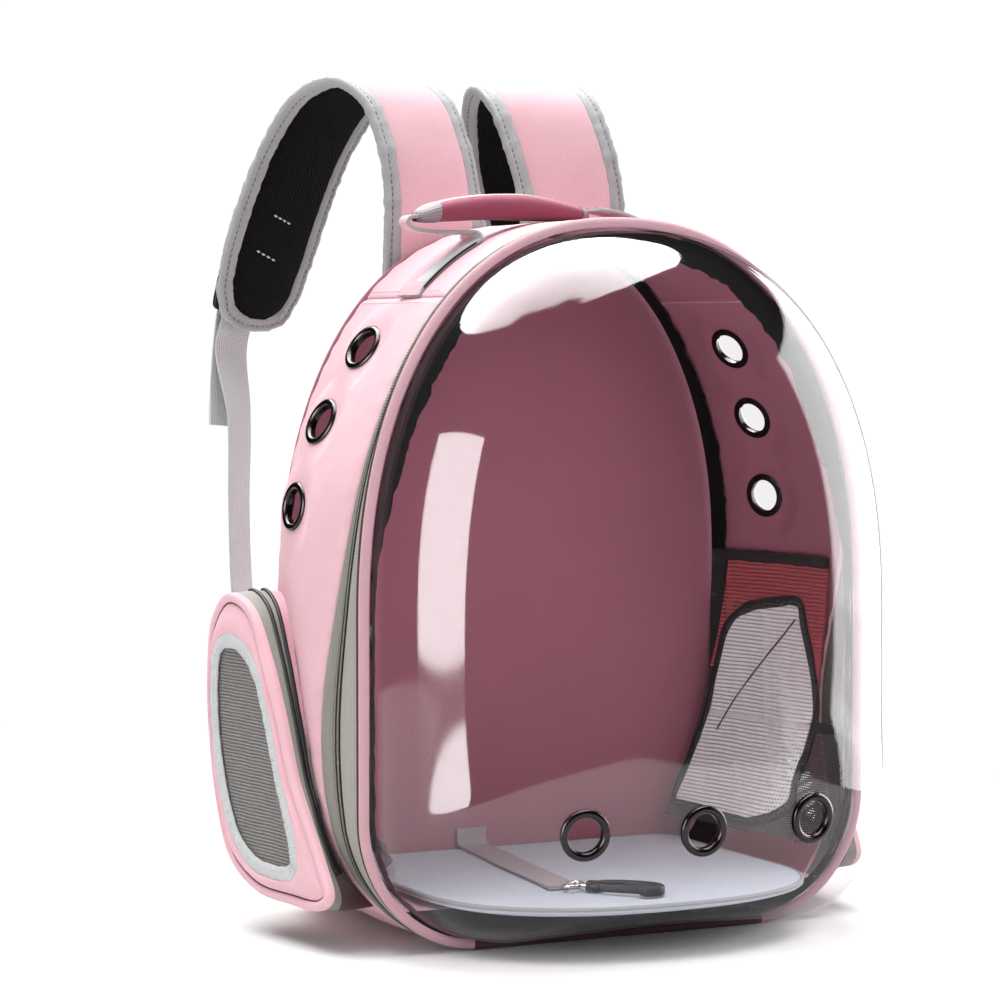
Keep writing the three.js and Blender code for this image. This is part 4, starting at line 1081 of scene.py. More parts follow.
def main_zip():
    """Main zip round the arch: two crowned tapes on the body's wall, the rear one darker as painted shade,
    and a coil of ridged teeth between them, with painted shade in the grooves beside and between its two
    rows."""
    under = 0.4 + TAPE
    a = spaced(station(0), station(40), 420)
    share = np.linspace(0, 1, 11)
    arc = np.sin(share * math.pi)[None, :]
    spread = zip_bulge(height_at(a)[:, None])
    run = run_length(body(a, np.zeros(a.shape)))[:, None]
    soft = 0.35 * ripple(run, share[None, :] * 20, 55) * arc * spread

    def tape(name, front, rear, finish):
        outer = wall_grid(a, front, rear, share, 0.7 - 0.9 * arc * (0.4 + 1.6 * spread) - soft)
        inner = wall_grid(a, front, rear, share, under)
        make(f"{name}_cloth", [slab(outer, inner)], [finish], [name], "grey_tape", sharp=70)

    tape("zip_tape_front", lambda z: ZIP_FRONT + 0 * z, lambda z: coil_front(z) - 0.2, "zip_tape")
    # the rear tape takes the darker copy of the tape, as painted shade
    tape("zip_tape_rear", lambda z: coil_rear(z) + 0.2, zip_rear, "zip_tape_shade")
    fine = spaced(station(0), station(40), 2800)
    run = run_length(body(fine, np.zeros(fine.shape)))[:, None]
    share = np.linspace(0, 1, 9)
    tooth = np.abs(np.sin(run * math.pi / (sizes().coil / MM)))
    ridge = np.abs(np.sin(share * TURN))[None, :] ** 0.6
    outer = wall_grid(fine, coil_front, coil_rear, share, 0.9 - ridge * (0.6 + 0.7 * tooth))
    inner = wall_grid(fine, coil_front, coil_rear, share, under)
    # painted shade: black faces in the coil's grooves, at both edges and between its two rows
    shaded_grooves = np.isin(np.arange(18), (0, 3, 4, 7)).astype(int)
    teeth = slab(outer, inner, shaded_grooves)
    make("zip_teeth", [teeth], ["zip_coil", "black_tape"], ["zip_coil"], "zip_coil", sharp=120)


def piping():
    """Pink piping round the bubble's frame, a round section carried along it, with painted shade along the
    bottom, and a dark cord behind it that paints the shade in the gap between piping and zip tape."""
    a = np.linspace(0, 1, 361)
    centre = body(a, np.full(a.shape, FRAME_Y), 2.2)
    out_x, out_z = outward_at(a, FRAME_HALF_WIDTH, FRAME_CORNER)
    angle = np.linspace(0, TURN, 15)[None, :, None]
    outward = points_at(out_x, 0, out_z)[:, None]
    rings = centre[:, None] + 3 * (outward * np.cos(angle) + np.array([0, 1, 0]) * np.sin(angle))
    # painted shade: the bottom stretch of the piping takes the dark seam_shade finish
    low = (np.abs(a[:-1] - 0.5) > 0.425).astype(int)
    fine = np.linspace(station(0), station(40), 500)
    # a dark cord of painted shade in the gap between the zip tape and the piping
    behind = body(fine, np.full(fine.shape, ZIP_FRONT + 0.1), 0.5)
    seam = sweep(behind, np.array([0, 1.0, 0]), oval(1.3, 1.6, 2, 10), 1)
    shells = [Shell(rings, finish=low[:, None]), seam]
    make("piping", shells, ["piping_cloth", "seam_shade"], ["dome_piping"], "pink_cloth", sharp=180)


def bindings():
    """Inner bindings: the ragged black tape that the bubble's rim is sewn into, wide over the arch, and the
    tape along the back seam, of open mesh below."""
    fine = np.linspace(station(0), station(40), 500)
    share = np.linspace(0, 1, 7)
    run = run_length(body(fine, np.zeros(fine.shape)))[:, None]
    ragged = 1.6 * ripple(run, 0 * run, 26, 0.3) + 0.8 * ripple(run, 0 * run, 9, 0.8)

    def strip(front, rear, inset, wave, finish=0):
        lift = wave * np.sin(run * TURN / 40 + 3 * ripple(run, 0 * run, 90)) * share[None, :] ** 2
        outer = wall_grid(fine, front, rear, share, inset + lift)
        inner = wall_grid(fine, front, rear, share, inset + TAPE * 0.8 + lift)
        return slab(outer, inner, finish)

    def frame_rear(z):
        return ZIP_FRONT + 2.5 + (9.5 + ragged) * ease(z, 180, 300)

    def back_front(z):
        return panel_rear(z) - mix(24.0, 11.0, ease(z, 50, 200)) - 1.4 * ragged

    high = ease(height_at(fine)[:, None], 190, 320)
    band = (mix(2.5, 13.0, high) + ragged * mix(0.4, 1.2, high)) * share[None, :] + DOME_INSET + 1.8
    rings = [body(fine[:, None] + 0 * band, y + 0 * band, band) for y in (FRAME_Y + 1.2, FRAME_Y + 2.2)]
    frame_tape = strip(lambda z: ZIP_FRONT + 0.3 + 0 * z, frame_rear, WALL + 0.6, 0.8)
    shells = [frame_tape, slab(*rings)]
    make("frame_binding_tape", shells, ["black_tape"], ["frame_binding"], "black_tape")
    low_rows = np.concatenate([[1], height_at(fine) < 215]).astype(int)
    back_tape = strip(back_front, panel_rear, WALL + 1.2, 0.0, low_rows[:, None])
    make("back_binding_tape", [back_tape], ["black_tape", "mesh_tape"], ["back_binding"], "black_tape")


def dome_point(a, t, inset, depth):
    """Bubble's surface at loop position a and meridian angle t: width and depth along a meridian follow a
    superellipse, boxier and lifted along the bottom."""
    rim = body(a, FRAME_Y + 0 * a, inset)
    down = DOME_APEX_Z - rim[..., 2]
    low = (np.maximum(down, 0) / np.hypot(rim[..., 0], down)) ** 6
    power = 2 / mix(2.5, 6.0, low)
    width = np.maximum(np.cos(t), 0) ** power
    forward = np.sin(t) ** power
    rim_z = rim[..., 2] + 16 * low * forward
    return points_at(rim[..., 0] * width, FRAME_Y - depth * forward, mix(DOME_APEX_Z, rim_z, width))


def bubble():
    """Clear bubble: a thin moulded shell on the frame, with bored vents."""
    a = np.linspace(0, 1, 301)[:, None]
    t = (np.linspace(0, 1, 67) * QUARTER)[None, :]
    points = dome_point(a + 0 * t, t + 0 * a, DOME_INSET, DOME_DEPTH)
    keep = np.ones((points.shape[0] - 1, points.shape[1] - 1), bool)
    for index in (1, 2, 3):
        axis, seat = eyelet_frame(f"grommet_dome_{index}", *EYELET_SEATS["dome"])
        points, keep = bore(points, keep, axis, seat, EYELET_BORE)
    shell = Shell(points, points_at(points[..., 0], points[..., 2]), keep=keep)
    sheet = {"wall": 1.5, "away": (0, -90, 200)}
    make("bubble", [shell], ["clear_bubble"], ["bubble_dome"], "clear_bubble", sharp=180, **sheet)


# Section of an eyelet: radius, and height over its flange's crown
EYELET_PROFILE = np.array(
    [
        (9.9, -4.6), (13.4, -4.6), (13.8, -4.4), (13.8, -4.0), (13.4, -3.8), (10.6, -3.8), (10.6, -1.7),
        (14.2, -1.7), (14.6, -1.3), (14.5, -0.9), (14.0, -0.35), (13.1, -0.02), (12.0, 0.1), (11.1, -0.15),
        (10.4, -0.8), (9.95, -1.8), (9.9, -3.0), (9.9, -4.6),
    ]
)


def eyelets():
    """Eyelets: one rounded profile turned about each vent's axis, pressed on to the cloth or the bubble."""
    turns = np.linspace(0, TURN, 57)
    radius, rise = EYELET_PROFILE[None, :, :1], EYELET_PROFILE[None, :, 1:]
    for place, seat_sizes in EYELET_SEATS.items():
        for index in (1, 2, 3):
            node = f"grommet_{place}_{index}"
            axis, seat = eyelet_frame(node, *seat_sizes)
            side = unit(np.cross(axis, (0.3, 0.2, 1.0)))
            other = np.cross(axis, side)
            spoke = side * np.cos(turns)[:, None] + other * np.sin(turns)[:, None]
            points = seat + axis * EYELET_TOP + spoke[:, None] * radius + axis * rise
            name = f"eyelet_{place}_{index}"
            make(name, [Shell(points)], ["eyelet_metal"], [node], "eyelet_metal", sharp=50)


def mat_rim(count):
    """Plan outline (x, y) of the mat: a superellipse in front, square behind with round corners."""
    angle = np.linspace(0, math.pi, 120)
    power = 2 / 2.3
    across = -bent(np.cos(angle), power) * 120
    forward = mix(-64.0, -158.0, np.maximum(np.sin(angle), 0) ** power)
    corner = np.linspace(0, QUARTER, 10)
    right = points_at(106 + 14 * np.cos(corner), 60 + 14 * np.sin(corner))
    left = points_at(-106 - 14 * np.sin(corner), 60 + 14 * np.cos(corner))
    line = np.concatenate([points_at(across, forward), right, left])
    closed = np.concatenate([line, line[:1]])
    run = run_length(closed)
    even = np.linspace(0, run[-1], count)
    return points_at(*(np.interp(even, run, closed[:, axis]) for axis in range(2)))


def mat():
    """Padded mat: its plan outline drawn in towards the middle, with a rounded edge, a cord along it, a sewn
    groove inside it, a soft top and an underside painted black as the shade beneath it."""
    half_thick = 3.5
    below, above = 10, 46
    rim = mat_rim(240)
    middle = np.array([0.0, -40.0])
    reach = np.linalg.norm(rim - middle, axis=1)[:, None]
    turn = np.linspace(-QUARTER, QUARTER, 12)
    edge_in = half_thick * (1 - np.cos(turn))
    inward = np.concatenate([np.linspace(140, 5, below), edge_in, np.linspace(4.5, 140, above)])
    lift = np.concatenate([np.full(below, -6.9), 3.4 * np.sin(turn) - half_thick, np.full(above, -0.1)])
    lift = lift + np.where(lift < -half_thick, 0, -0.9 * hump(inward, 9.0, 1.5))
    under = np.where(lift < -half_thick, (-half_thick - lift) / half_thick * 10, 0)
    share = np.maximum(1 - (inward + under)[None, :] / reach, 0)
    share[:, [0, -1]] = 0
    plan = middle + (rim - middle)[:, None] * share[..., None]
    soft = 0.5 * ripple(plan[..., 0], plan[..., 1], 60) - 0.45
    z = MAT_TOP + lift[None, :] + np.where(lift > -1.5, soft, 0) * ease(inward, 6, 20)[None, :]
    z[:, -1] = z[:, -1].mean()
    points = points_at(plan[..., 0], plan[..., 1], z)
    ring = np.linspace(0, TURN, 11)[None, :]
    drawn_in = 1 - (1.2 - 1.5 * np.cos(ring)) / reach
    line = middle + (rim - middle)[:, None] * drawn_in[..., None]
    cord = points_at(line[..., 0], line[..., 1], MAT_TOP - 1.4 + 1.5 * np.sin(ring))
    # painted shade: the underside is black, as the shade beneath the mat
    shaded_underside = np.where(np.arange(len(inward) - 1) < below, 2, 0)
    shells = [Shell(points, plan, shaded_underside), Shell(cord, finish=1)]
    finishes = ["pale_mat", "light_binding", "black_tape"]
    piece = make("mat_pad", shells, finishes, ["floor_mat"], "pale_mat", sharp=80)


# The lying snap hook: its eye, its height and the way it points
HOOK_X = -37
HOOK_Y = -93
HOOK_Z = 35.3
HOOK_HEADING = math.radians(-49)
UP = np.array([0, 0, 1.0])


def hook_point(rows, count):
    """Smooth path through points of the snap hook: along from its eye to its nose, side to its left."""
    along, side = np.asarray(rows, float).T
    cosine, sine = math.cos(HOOK_HEADING), math.sin(HOOK_HEADING)
    x = HOOK_X + along * cosine - side * sine
    y = HOOK_Y + along * sine + side * cosine
    return curve(points_at(x, y, HOOK_Z), np.linspace(0, 1, count))


def tether():
    """Tether of ribbed webbing: a flat section up the back and along the mat, thicker where it is lapped."""
    lying = 33.1
    back_face = panel_rear(44.0) - 0.8
    rows = [(-20, back_face, 44)]
    for turn in np.linspace(0, QUARTER, 7):
        rows.append((-20, back_face - 6 + 6 * math.cos(turn), lying + 6 - 6 * math.sin(turn)))
    eye = hook_point([(-4.4, 0), (-4.3, 0)], 2)[0]
    rows += [(-23, 40, lying), (-29, 0, lying), (-34, -45, lying), (eye[0], eye[1], 33.3)]
    path = curve(rows, np.linspace(0, 1, 240))
    run = run_length(path)
    lap = ease(run, run[-1] - 16, run[-1] - 14)[:, None, None]
    profile = oval(20, 1.6, 8, 30)[None] * (1 + lap * np.array([0.0, 0.5]))
    strip = sweep(path, np.array([1.0, 0, 0]), profile)
    make("tether_ribbon", [strip], ["tether_webbing"], ["tether_strap"], "light_webbing", sharp=60)


def snap_hook():
    """Snap hook: round and oval sections carried along its swivel's loop and stem, its spine with a tapered
    nose, its grooved barrel and its gate."""
    rows = [(5, 1.5), (3.5, 7), (0, 8), (-2, 6), (-2, -6), (0, -8), (3.5, -7), (5, -1.5)]
    loop = sweep(hook_point(rows, 90), UP, oval(2.4, 2.4, 2, 12))
    stem = sweep(hook_point([(4, 0), (7, 0), (10, 0)], 20), UP, oval(2.6, 3.8, 2, 16))
    make("swivel", [loop, stem], ["swivel_metal"], ["hook_swivel"], "swivel_metal", sharp=60)
    rows = [(15, 2.5), (20, 6), (30, 9), (42, 9.5), (51, 6.5), (54, 0), (50, -6), (44.5, -7.5)]
    taper = np.interp(np.linspace(0, 1, 120), [0, 0.08, 0.9, 1], [0.9, 1, 1, 0.75])[:, None, None]
    spine = sweep(hook_point(rows, 120), UP, oval(6, 5, 3.4, 24)[None] * taper)
    groove = 1 - 0.12 * hump(np.linspace(0, 1, 40), 0.4, 0.07)[:, None, None]
    collar = hook_point([(10.4, 0), (14, 0), (18, 0)], 40)
    barrel = sweep(collar, UP, oval(6, 11.2, 3.0, 28)[None] * groove)
    make("hook", [spine, barrel], ["black_plastic"], ["snap_hook"], "black_plastic", sharp=60)
    line = hook_point([(18.5, -4), (31, -4), (47.5, -2.6)], 50)
    gate = sweep(line, UP, oval(4.8, 2.6, 3.2, 20))
    make("gate", [gate], ["black_plastic"], ["hook_gate"], "black_plastic", body_name="gate", sharp=60)


def pockets():
    """Side pockets: crowned face with a piped rim, wrinkled window binding, window net, gusset and zip."""
    places = np.linspace(0, 1, 241)
    edge, edge_out = closed_edge(POCKET_OUTLINE, places)
    window, window_out = closed_edge(WINDOW_OUTLINE, places)
    for side in SIDES:
        pocket_face(side, edge, edge_out, window)
        window_rim(side, window, window_out)
        window_net(side, window, window_out)
        pocket_gusset(side, edge, edge_out)
        pocket_zip(side)


def pocket_face(side, edge, out, window):
    """Ring between the pocket's outline and its window: a round rim, a sewn groove 6 mm in darkened with
    painted shade, then a soft crown up to the window."""
    near = np.array([0, 0.4, 0.9, 1.6, 2.3, 3.1, 3.9, 4.6, 5.1, 5.5, 5.95, 6.4, 6.9, 7.6])
    share = np.concatenate([0 * near, np.linspace(0, 1, 14)[1:]])[None, :]
    reach = np.concatenate([near, np.full(13, near[-1])])[None, :]
    drawn_in = edge[:, None] - out[:, None] * reach[..., None]
    yz = mix(drawn_in, window[:, None], share[..., None])
    width = np.linalg.norm(window - edge, axis=1)[:, None]
    inward = reach + share * (width - near[-1])
    rim = 2.6 * np.sqrt(np.clip(1 - ((reach - 2.8) / 2.8) ** 2, 0, 1)) - 1.6 * (reach == 0)
    arc = np.sin(share * math.pi)
    soft = 0.7 * ripple(yz[..., 0], yz[..., 1], 50) * arc
    crown = 3 * ease(inward / width, 0.05, 0.9) + 0.8 * arc
    lift = crown + rim * 0.6 - hump(reach, 5.95, 0.7) + soft
    outer = face_point(yz, lift)
    inner = face_point(yz, np.minimum(lift, 3 * share) - 2)
    # painted shade: the two faces in the sewn groove take the dark seam_shade finish
    sewn = np.isin(np.arange(share.shape[1] - 1), (9, 10)).astype(int)
    shells = [Shell(outer, yz, sewn), Shell(inner), *ring_edges(outer, inner)]
    finishes = ["pink_cloth", "seam_shade"]
    make_side(side, "pocket_face_cloth", shells, finishes, "pocket_face", "pink_cloth", sharp=60)


def window_rim(side, window, out):
    """Binding round the window: a puffed band 8 mm wide, wrinkled across, with a ragged inner edge and a row
    of stitches."""
    run = run_length(window)
    angle = np.linspace(0, TURN, 23)[None, :]
    ragged = 0.6 * ripple(window[:, 0], window[:, 1], 14)[:, None]
    across = -4.2 + (4.2 + ragged) * np.cos(angle)
    waves = np.linspace(0, round(run[-1] / 6.5) * TURN, len(run))
    pleat = 0.28 * np.sin(waves + 4 * ripple(window[:, 0], window[:, 1], 40))[:, None]
    lift = 2.6 + (1.15 + pleat) * bent(np.sin(angle), 0.7)
    band = Shell(face_point(window[:, None] + out[:, None] * across[..., None], lift))
    line = face_point(window - out * 5.2, 3.75)
    row = stitches(line, (-1, 0, 0), 2.6, 1.1, 0.6, finish=1)
    finishes = ["pale_binding", "thread"]
    make_side(side, "window_rim", [band, row], finishes, "window_binding", "light_webbing", sharp=80)


def window_net(side, window, out):
    """Net stretched over the window: the outline drawn in to its middle, sagging a little inwards."""
    rim = window - out * 3.5
    middle = rim[:-1].mean(axis=0)
    share = np.linspace(1, 0, 26)[None, :, None]
    yz = mix(middle, rim[:, None], share)
    sag = 1.2 * (1 - share[..., 0] ** 2) + 0.5 * ripple(yz[..., 0], yz[..., 1], 45) * (1 - share[..., 0])
    points = face_point(yz, 1.2 - sag)
    shells = [Shell(points, yz)]
    away = (0, 0, 100)
    net = make_side(side, "window_net", shells, ["grey_net"], "window_mesh", "grey_net", away=away)
    spread = rim.max(axis=0) - rim.min(axis=0)
    y, z = rim[:, 0], rim[:, 1]
    area = abs(np.sum(y[:-1] * z[1:] - y[1:] * z[:-1])) / 2


def pocket_gusset(side, edge, out):
    """Gusset from the face's edge to the wall: a soft band of tape with a shallow fold along it, cloth next
    to the wall and painted shade in the fold below."""
    depth = np.linspace(0, 1, 19)[None, :, None]
    wave = ripple(edge[:, :1, None] + depth * 30, edge[:, 1:, None], 60)
    push = (0.9 + 0.4 * wave) * np.sin(depth * math.pi)
    around, outwards = edge[:, None] + 0 * depth, out[:, None] + 0 * depth
    outer = gusset_point(around, outwards, depth, push - 0.2)
    inner = gusset_point(around, outwards, depth, push - 1.8)
    y, z = edge[:-1, :1], edge[:-1, 1:]
    limit = 12 + ease(-y, -20, 10) * (6 * ease(-z, -150, -100) - 14 * ease(-z, -100, -40))
    # wall side in pink cloth; painted shade (seam_shade) on the low front part of the fold
    cloth = np.where((z < 100) & (y < 8), 2, 1) * (np.arange(18)[None, :] > limit)
    shells = [Shell(outer, finish=cloth), Shell(inner), *ring_edges(outer, inner)]
    finishes = ["gusset_tape", "pink_cloth", "seam_shade"]
    make_side(side, "pocket_gusset_cloth", shells, finishes, "pocket_gusset", "grey_tape", sharp=60)


def pocket_zip(side):
    """Pocket zip from the top down the front edge: two ridged black coils on the gusset."""
    edge, out = closed_edge(POCKET_OUTLINE, np.linspace(0.6, 1.0, 540))
    shells = []
    for depth in (0.40, 0.66):
        path = gusset_point(edge, out, depth, 1.3)
        tooth = 1 + 0.3 * np.abs(np.sin(run_length(path) * math.pi / 1.6))[:, None, None]
        shells.append(sweep(path, np.array([-1.0, 0, 0]), oval(2.0, 1.6, 2, 10)[None] * tooth))
    make_side(side, "pocket_coils", shells, ["black_coil"], "pocket_zip", "black_tape", sharp=120)


# Pale field of the netting, depth y and height z, as its dark tape runs round it, and a crease across it
NET_FIELD = np.array(
    [
        (54, 144), (50, 167), (37, 178), (10, 184), (-16, 185), (-24, 172), (-38, 149), (-48, 122),
        (-46, 100), (-42, 79), (-42, 62), (-30, 53), (-4, 51), (36, 53), (61, 55), (60, 81), (55, 109),
    ],
    float,
)
NET_CREASE = np.array([(-14, 175), (15, 144), (32, 121), (42, 101)], float)
NET_TOP = 212.0
FLAP_TOP = 113.0


def net_point(y, z, inset):
    """Point of the left netting: the wall's inside at depth y and height z, hanging off it towards the mat,
    less so towards the frame."""
    hang = 40 * np.maximum((208 - z) / 170, 0) ** 1.5 * (1 - 0.75 * ease(-y, 20, 75))
    return points_at(-(body_half_width(y, z) - 4.3 - hang - inset), y, z)


def net_band(yz, width, thickness):
    """A worn tape along a line on the left netting: a flat section of uneven width carried along it."""
    line = net_point(yz[:, 0], yz[:, 1], 0.4)
    worn = 1 + 0.22 * ripple(yz[:, 0], yz[:, 1], 22)[:, None, None]
    along = unit(np.gradient(line, axis=0))
    return sweep(line, np.cross(along, (1.0, 0, 0)), oval(width, thickness, 4, 16)[None] * worn)


def netting():
    """Net inside each side wall: a pale field in a dark tape, red net above, dark mesh beside it and on the
    flap in front, and dark tapes along the top edges."""
    flap_front, net_front = -78.0, -46.0
    z = np.linspace(NET_TOP, 46, 100)[:, None]
    front = mix(net_front, flap_front, ease(FLAP_TOP - z, 0, 3))
    y = mix(front, panel_rear(z) - 12, np.linspace(0, 1, 80)[None, :])
    points = net_point(y, z, 1.2 * ripple(z, y, 60) * ease(NET_TOP - z, 10, 60))
    middle_y = (y[:-1, :-1] + y[1:, 1:]) / 2
    middle_z = (z[:-1] + z[1:]) / 2 + 0 * middle_y
    field, _ = closed_edge(NET_FIELD, np.linspace(0, 1, 240))
    kinds = np.where(inside(middle_y, middle_z, field), 2, np.where(middle_z > 140, 0, 1))
    top_y = np.linspace(net_front, panel_rear(NET_TOP) - 12, 60)
    flap_y = np.linspace(flap_front, net_front, 30)
    finishes = ["red_net", "dark_mesh", "pale_net"]
    for side in SIDES:
        away = (-400 if side == "left" else 400, 0, 100)
        shells = [Shell(points, finish=kinds)]
        net = make_side(side, "side_net", shells, finishes, "side_mesh", "black_net", away=away)
        bands = [
            net_band(field, 6.5, 1.4),
            net_band(curve(NET_CREASE, np.linspace(0, 1, 40)), 0.9, 0.6),
            net_band(points_at(top_y, NET_TOP), 7.5, 1.6),
            net_band(points_at(flap_y, FLAP_TOP - 1.5), 6.0, 1.6),
        ]
        make_side(side, "net_edging", bands, ["mesh_tape"], slot="black_tape")


def straps():
    """Shoulder straps: a pillow section carried along the strap, cloth outside and spacer mesh inside, a
    folded binding round its edges, and stitches."""
    for side in SIDES:
        strap = Strap(side)
        v = np.linspace(0, 0.975, 190)[:, None]
        half = strap.value(5, v) / 2 - 8.5
        half = half * np.sqrt(np.clip(1 - np.maximum((v - 0.93) / 0.05, 0) ** 2, 0.02, 1))
        angle = np.linspace(0, math.pi, 23)[None, :]
        sideways = half * bent(np.cos(angle), 0.7)
        crown = 4.6 * np.abs(np.sin(angle)) ** 0.5
        run = v * 360
        soft = 0.35 * ripple(run, sideways, 48) * np.sin(angle)
        wide = v + 0 * angle
        outer = strap_grid(strap, wide, sideways, crown + soft)
        inner = strap_grid(strap, wide, sideways, -crown + soft)
        uv = points_at(sideways, run)
        caps = [Shell(np.stack([outer[row], inner[row]], 0)) for row in (0, -1)]
        shells = [Shell(outer, uv, 0), Shell(inner, uv, 1), *caps]
        finishes = ["pink_cloth", "black_spacer"]
        pad = make_side(side, "strap_cushion", shells, finishes, "strap_pad", "pink_cloth", sharp=80)
        strap_edge(side, strap)


def strap_grid(strap, v, sideways, height):
    """Grid of strap points: rows share their place along the strap, columns spread over its width."""
    centre, _, across, out = strap.axes(v[:, 0])
    return centre[:, None] + across[:, None] * sideways[..., None] + out[:, None] * height[..., None]


def strap_edge(side, strap):
    """Binding folded over a strap's edge: a flattened section carried down one edge, round the lower end and
    up the other, ruffled on its inner side, with a stitched groove on each face, and two bar stitches on the
    strap's underside."""
    down = np.linspace(0, 0.945, 150)
    swing = np.linspace(0, math.pi, 60)[1:-1]
    reach = strap.value(5, down) / 2 - 5.5
    low = reach[-1]
    v = np.concatenate([down, 0.945 + 0.042 * np.sin(swing), down[::-1]])
    sideways = np.concatenate([-reach, -low * np.cos(swing), reach[::-1]])
    path = strap.point(v, sideways, 0 * v)
    out = strap.axes(v)[3]
    along = unit(np.gradient(path, axis=0))
    inward = unit(np.cross(out, along))
    run = run_length(path)
    ruffle = 0.35 * ripple(run, 0 * run, 7)[:, None] + 0.25 * ripple(run, 0 * run, 18, 0.7)[:, None]
    section_line = oval(11, 7.0, 3.2, 36)
    section_line[:, 1] *= 1 - 0.3 * hump(section_line[:, 0], 1.6, 1.0)
    profile = np.broadcast_to(section_line, (len(path), *section_line.shape)).copy()
    profile[..., 0] += 1.5 * ruffle * (section_line[:, 0] > 3) - 0.5 * ruffle * (section_line[:, 0] < -3)
    profile[..., 1] *= 1 + 0.5 * ruffle
    shells = [sweep(path, inward, profile, lift=out)]
    for face in (-1, 1):
        line = path + inward * 1.6 + out * face * 2.6
        shells.append(stitches(line, out * face, sizes().stitch / MM, 0.8, 0.9, finish=1))
    place = np.linspace(0, 1, 12)
    for first, last in (((0.739, -10), (0.75, 6)), ((0.805, -15), (0.819, 3))):
        v = mix(first[0], last[0], place)
        line = strap.point(v, mix(first[1], last[1], place), np.full(12, -5.1))
        shells.append(stitches(line, -strap.axes(v)[3], 3.4, 0.5, 1.5, finish=2))
    finishes = ["light_binding", "dark_thread", "thread"]
    make_side(side, "strap_edging", shells, finishes, "strap_binding", "light_webbing", sharp=80)


# Webbing: x, depth, height and turn of the hanging tail and of the run down to the back's corner, and between
# them places down the strap and out from it, round the ladder lock's bar
TAIL_ROWS = ((-130, 212, 294, 16), (-128, 214, 328, 14))
LOCK_ROWS = ((16, 11.8), (-2, 11.8), (-4.8, 11.3), (-5.8, 8.7), (-4.8, 6.1), (-2, 5.6), (16, 5.6), (36, 6.4))
WEBBING_ROWS = (
    (-125, 201, 300, 34), (-128, 194, 240, 38), (-131, 181, 185, 38), (-134, 152, 125, 30),
    (-133, 116, 76, 16), (-130, 92, 54, 4), (-128, 84.3, 40, 0), (-127, 85.3, 20, 0),
)


def webbing():
    """Strap webbing: a flat section carried along a hanging tail with a folded hem, over the ladder lock's
    bar and down to the back's corner."""
    for side in SIDES:
        strap = Strap(side)

        def hanging(rows):
            rows = np.array(rows, float)
            rows[:, 0] += strap.shift * ease(rows[:, 2], 40, 300)
            return rows

        lock = np.array(LOCK_ROWS)
        threaded = strap.beside_buckle(lock[:, 0], 0 * lock[:, 0], lock[:, 1])
        turn = strap.value(4, BUCKLE_V)
        threaded = np.concatenate([threaded, np.full((len(lock), 1), turn)], axis=1)
        rows = np.concatenate([hanging(TAIL_ROWS), threaded, hanging(WEBBING_ROWS)])
        places = np.linspace(0, 1, 320)
        path = curve(rows[:, :3], places)
        angle = np.radians(np.interp(places * (len(rows) - 1), np.arange(len(rows)), rows[:, 3]))
        across = points_at(np.cos(angle), np.sin(angle), 0)
        hem = (1 - ease(run_length(path), 15, 16))[:, None, None]
        profile = oval(25, 1.6, 9, 34)[None] * (1 + hem * np.array([0.0, 0.8]))
        strip = sweep(path, across, profile)
        make_side(side, "webbing", [strip], ["light_webbing"], "strap_webbing", "light_webbing", sharp=60)
        ladder_lock(side, strap)


def ladder_lock(side, strap):
    """Ladder lock: a rounded bar carried round a rectangle with round corners, and a bar across it."""
    turn = np.linspace(0, TURN, 121)
    power = 2 / 7
    x = 16.6 * bent(np.cos(turn), power)
    y = -0.3 + 11.6 * bent(np.sin(turn), power)
    path = strap.beside_buckle(y, x, BUCKLE_MIDDLE + 0 * x)
    middle = strap.beside_buckle(0 * x, 0 * x, BUCKLE_MIDDLE + 0 * x)
    _, along, _, outs = strap.axes(np.array([BUCKLE_V]))
    out = np.broadcast_to(outs[0], path.shape)
    profile = oval(5.6, 4.0, 3.5, 20)[None]
    ring = path[:, None] + unit(path - middle)[:, None] * profile[..., :1] + out[:, None] * profile[..., 1:]
    ring[-1] = ring[0]
    rung = strap.beside_buckle(np.full(20, -0.3), np.linspace(-16, 16, 20), np.full(20, BUCKLE_MIDDLE))
    bar = sweep(rung, along, oval(4.8, 3.6, 3.2, 18), lift=out[:20])
    shells = [Shell(ring), bar]
    make_side(side, "ladder_lock", shells, ["black_plastic"], "strap_buckle", "black_plastic", sharp=60)


# Top handle: its depth, and the grip's distance from the middle plane, height and thickness
HANDLE_Y = -20.0
GRIP_ROWS = np.array(
    [
        (-103, 421.5, 5.5), (-93, 423.8, 11), (-80, 425.8, 13.4), (-60, 427.6, 15.2),
        (-44, 428, 15.8), (-27, 427.6, 15.2), (-7, 425.6, 11.6), (10, 423.6, 6.6),
    ]
)


def grip():
    """Top handle's grip: an oval section of changing size carried along it, pink on top and deep rose painted
    shade on its front and underside, with a wrap at each end that is the same section grown a little."""
    places = np.linspace(0, 1, 110)
    line = curve(GRIP_ROWS, places)
    girth = np.sqrt(np.clip(1 - (np.abs(places - 0.5) * 2) ** 10, 0.12, 1))
    angle = np.linspace(0, TURN, 41)[None, :]
    deep = 11 * girth[:, None] * bent(np.cos(angle), 0.8)
    tall = line[:, 2:] / 2 * bent(np.sin(angle), 0.8)
    soft = 1 + 0.03 * ripple(line[:, :1], deep, 30)
    rings = points_at(line[:, :1], HANDLE_Y + deep * soft, line[:, 1:2] + tall * soft)
    # painted shade: only a strip facing up keeps the pink cloth, the rest of the grip takes the deep rose
    over = (np.sin(angle[0, :-1] + 0.08) > 0.86).astype(int)
    shell = Shell(capped(rings), finish=over)
    piece = make("grip", [shell], ["rose_grip", "pink_cloth"], ["handle_grip"], "pink_cloth", sharp=80)
    shells = []
    for first, last in ((0, 20), (103, 110)):
        part = rings[first:last]
        centre = part.mean(axis=1, keepdims=True)
        shells.append(slab(centre + (part - centre) * 1.07, centre + (part - centre) * 0.97))
    make("grip_wraps", shells, ["wrap_webbing"], slot="light_webbing")


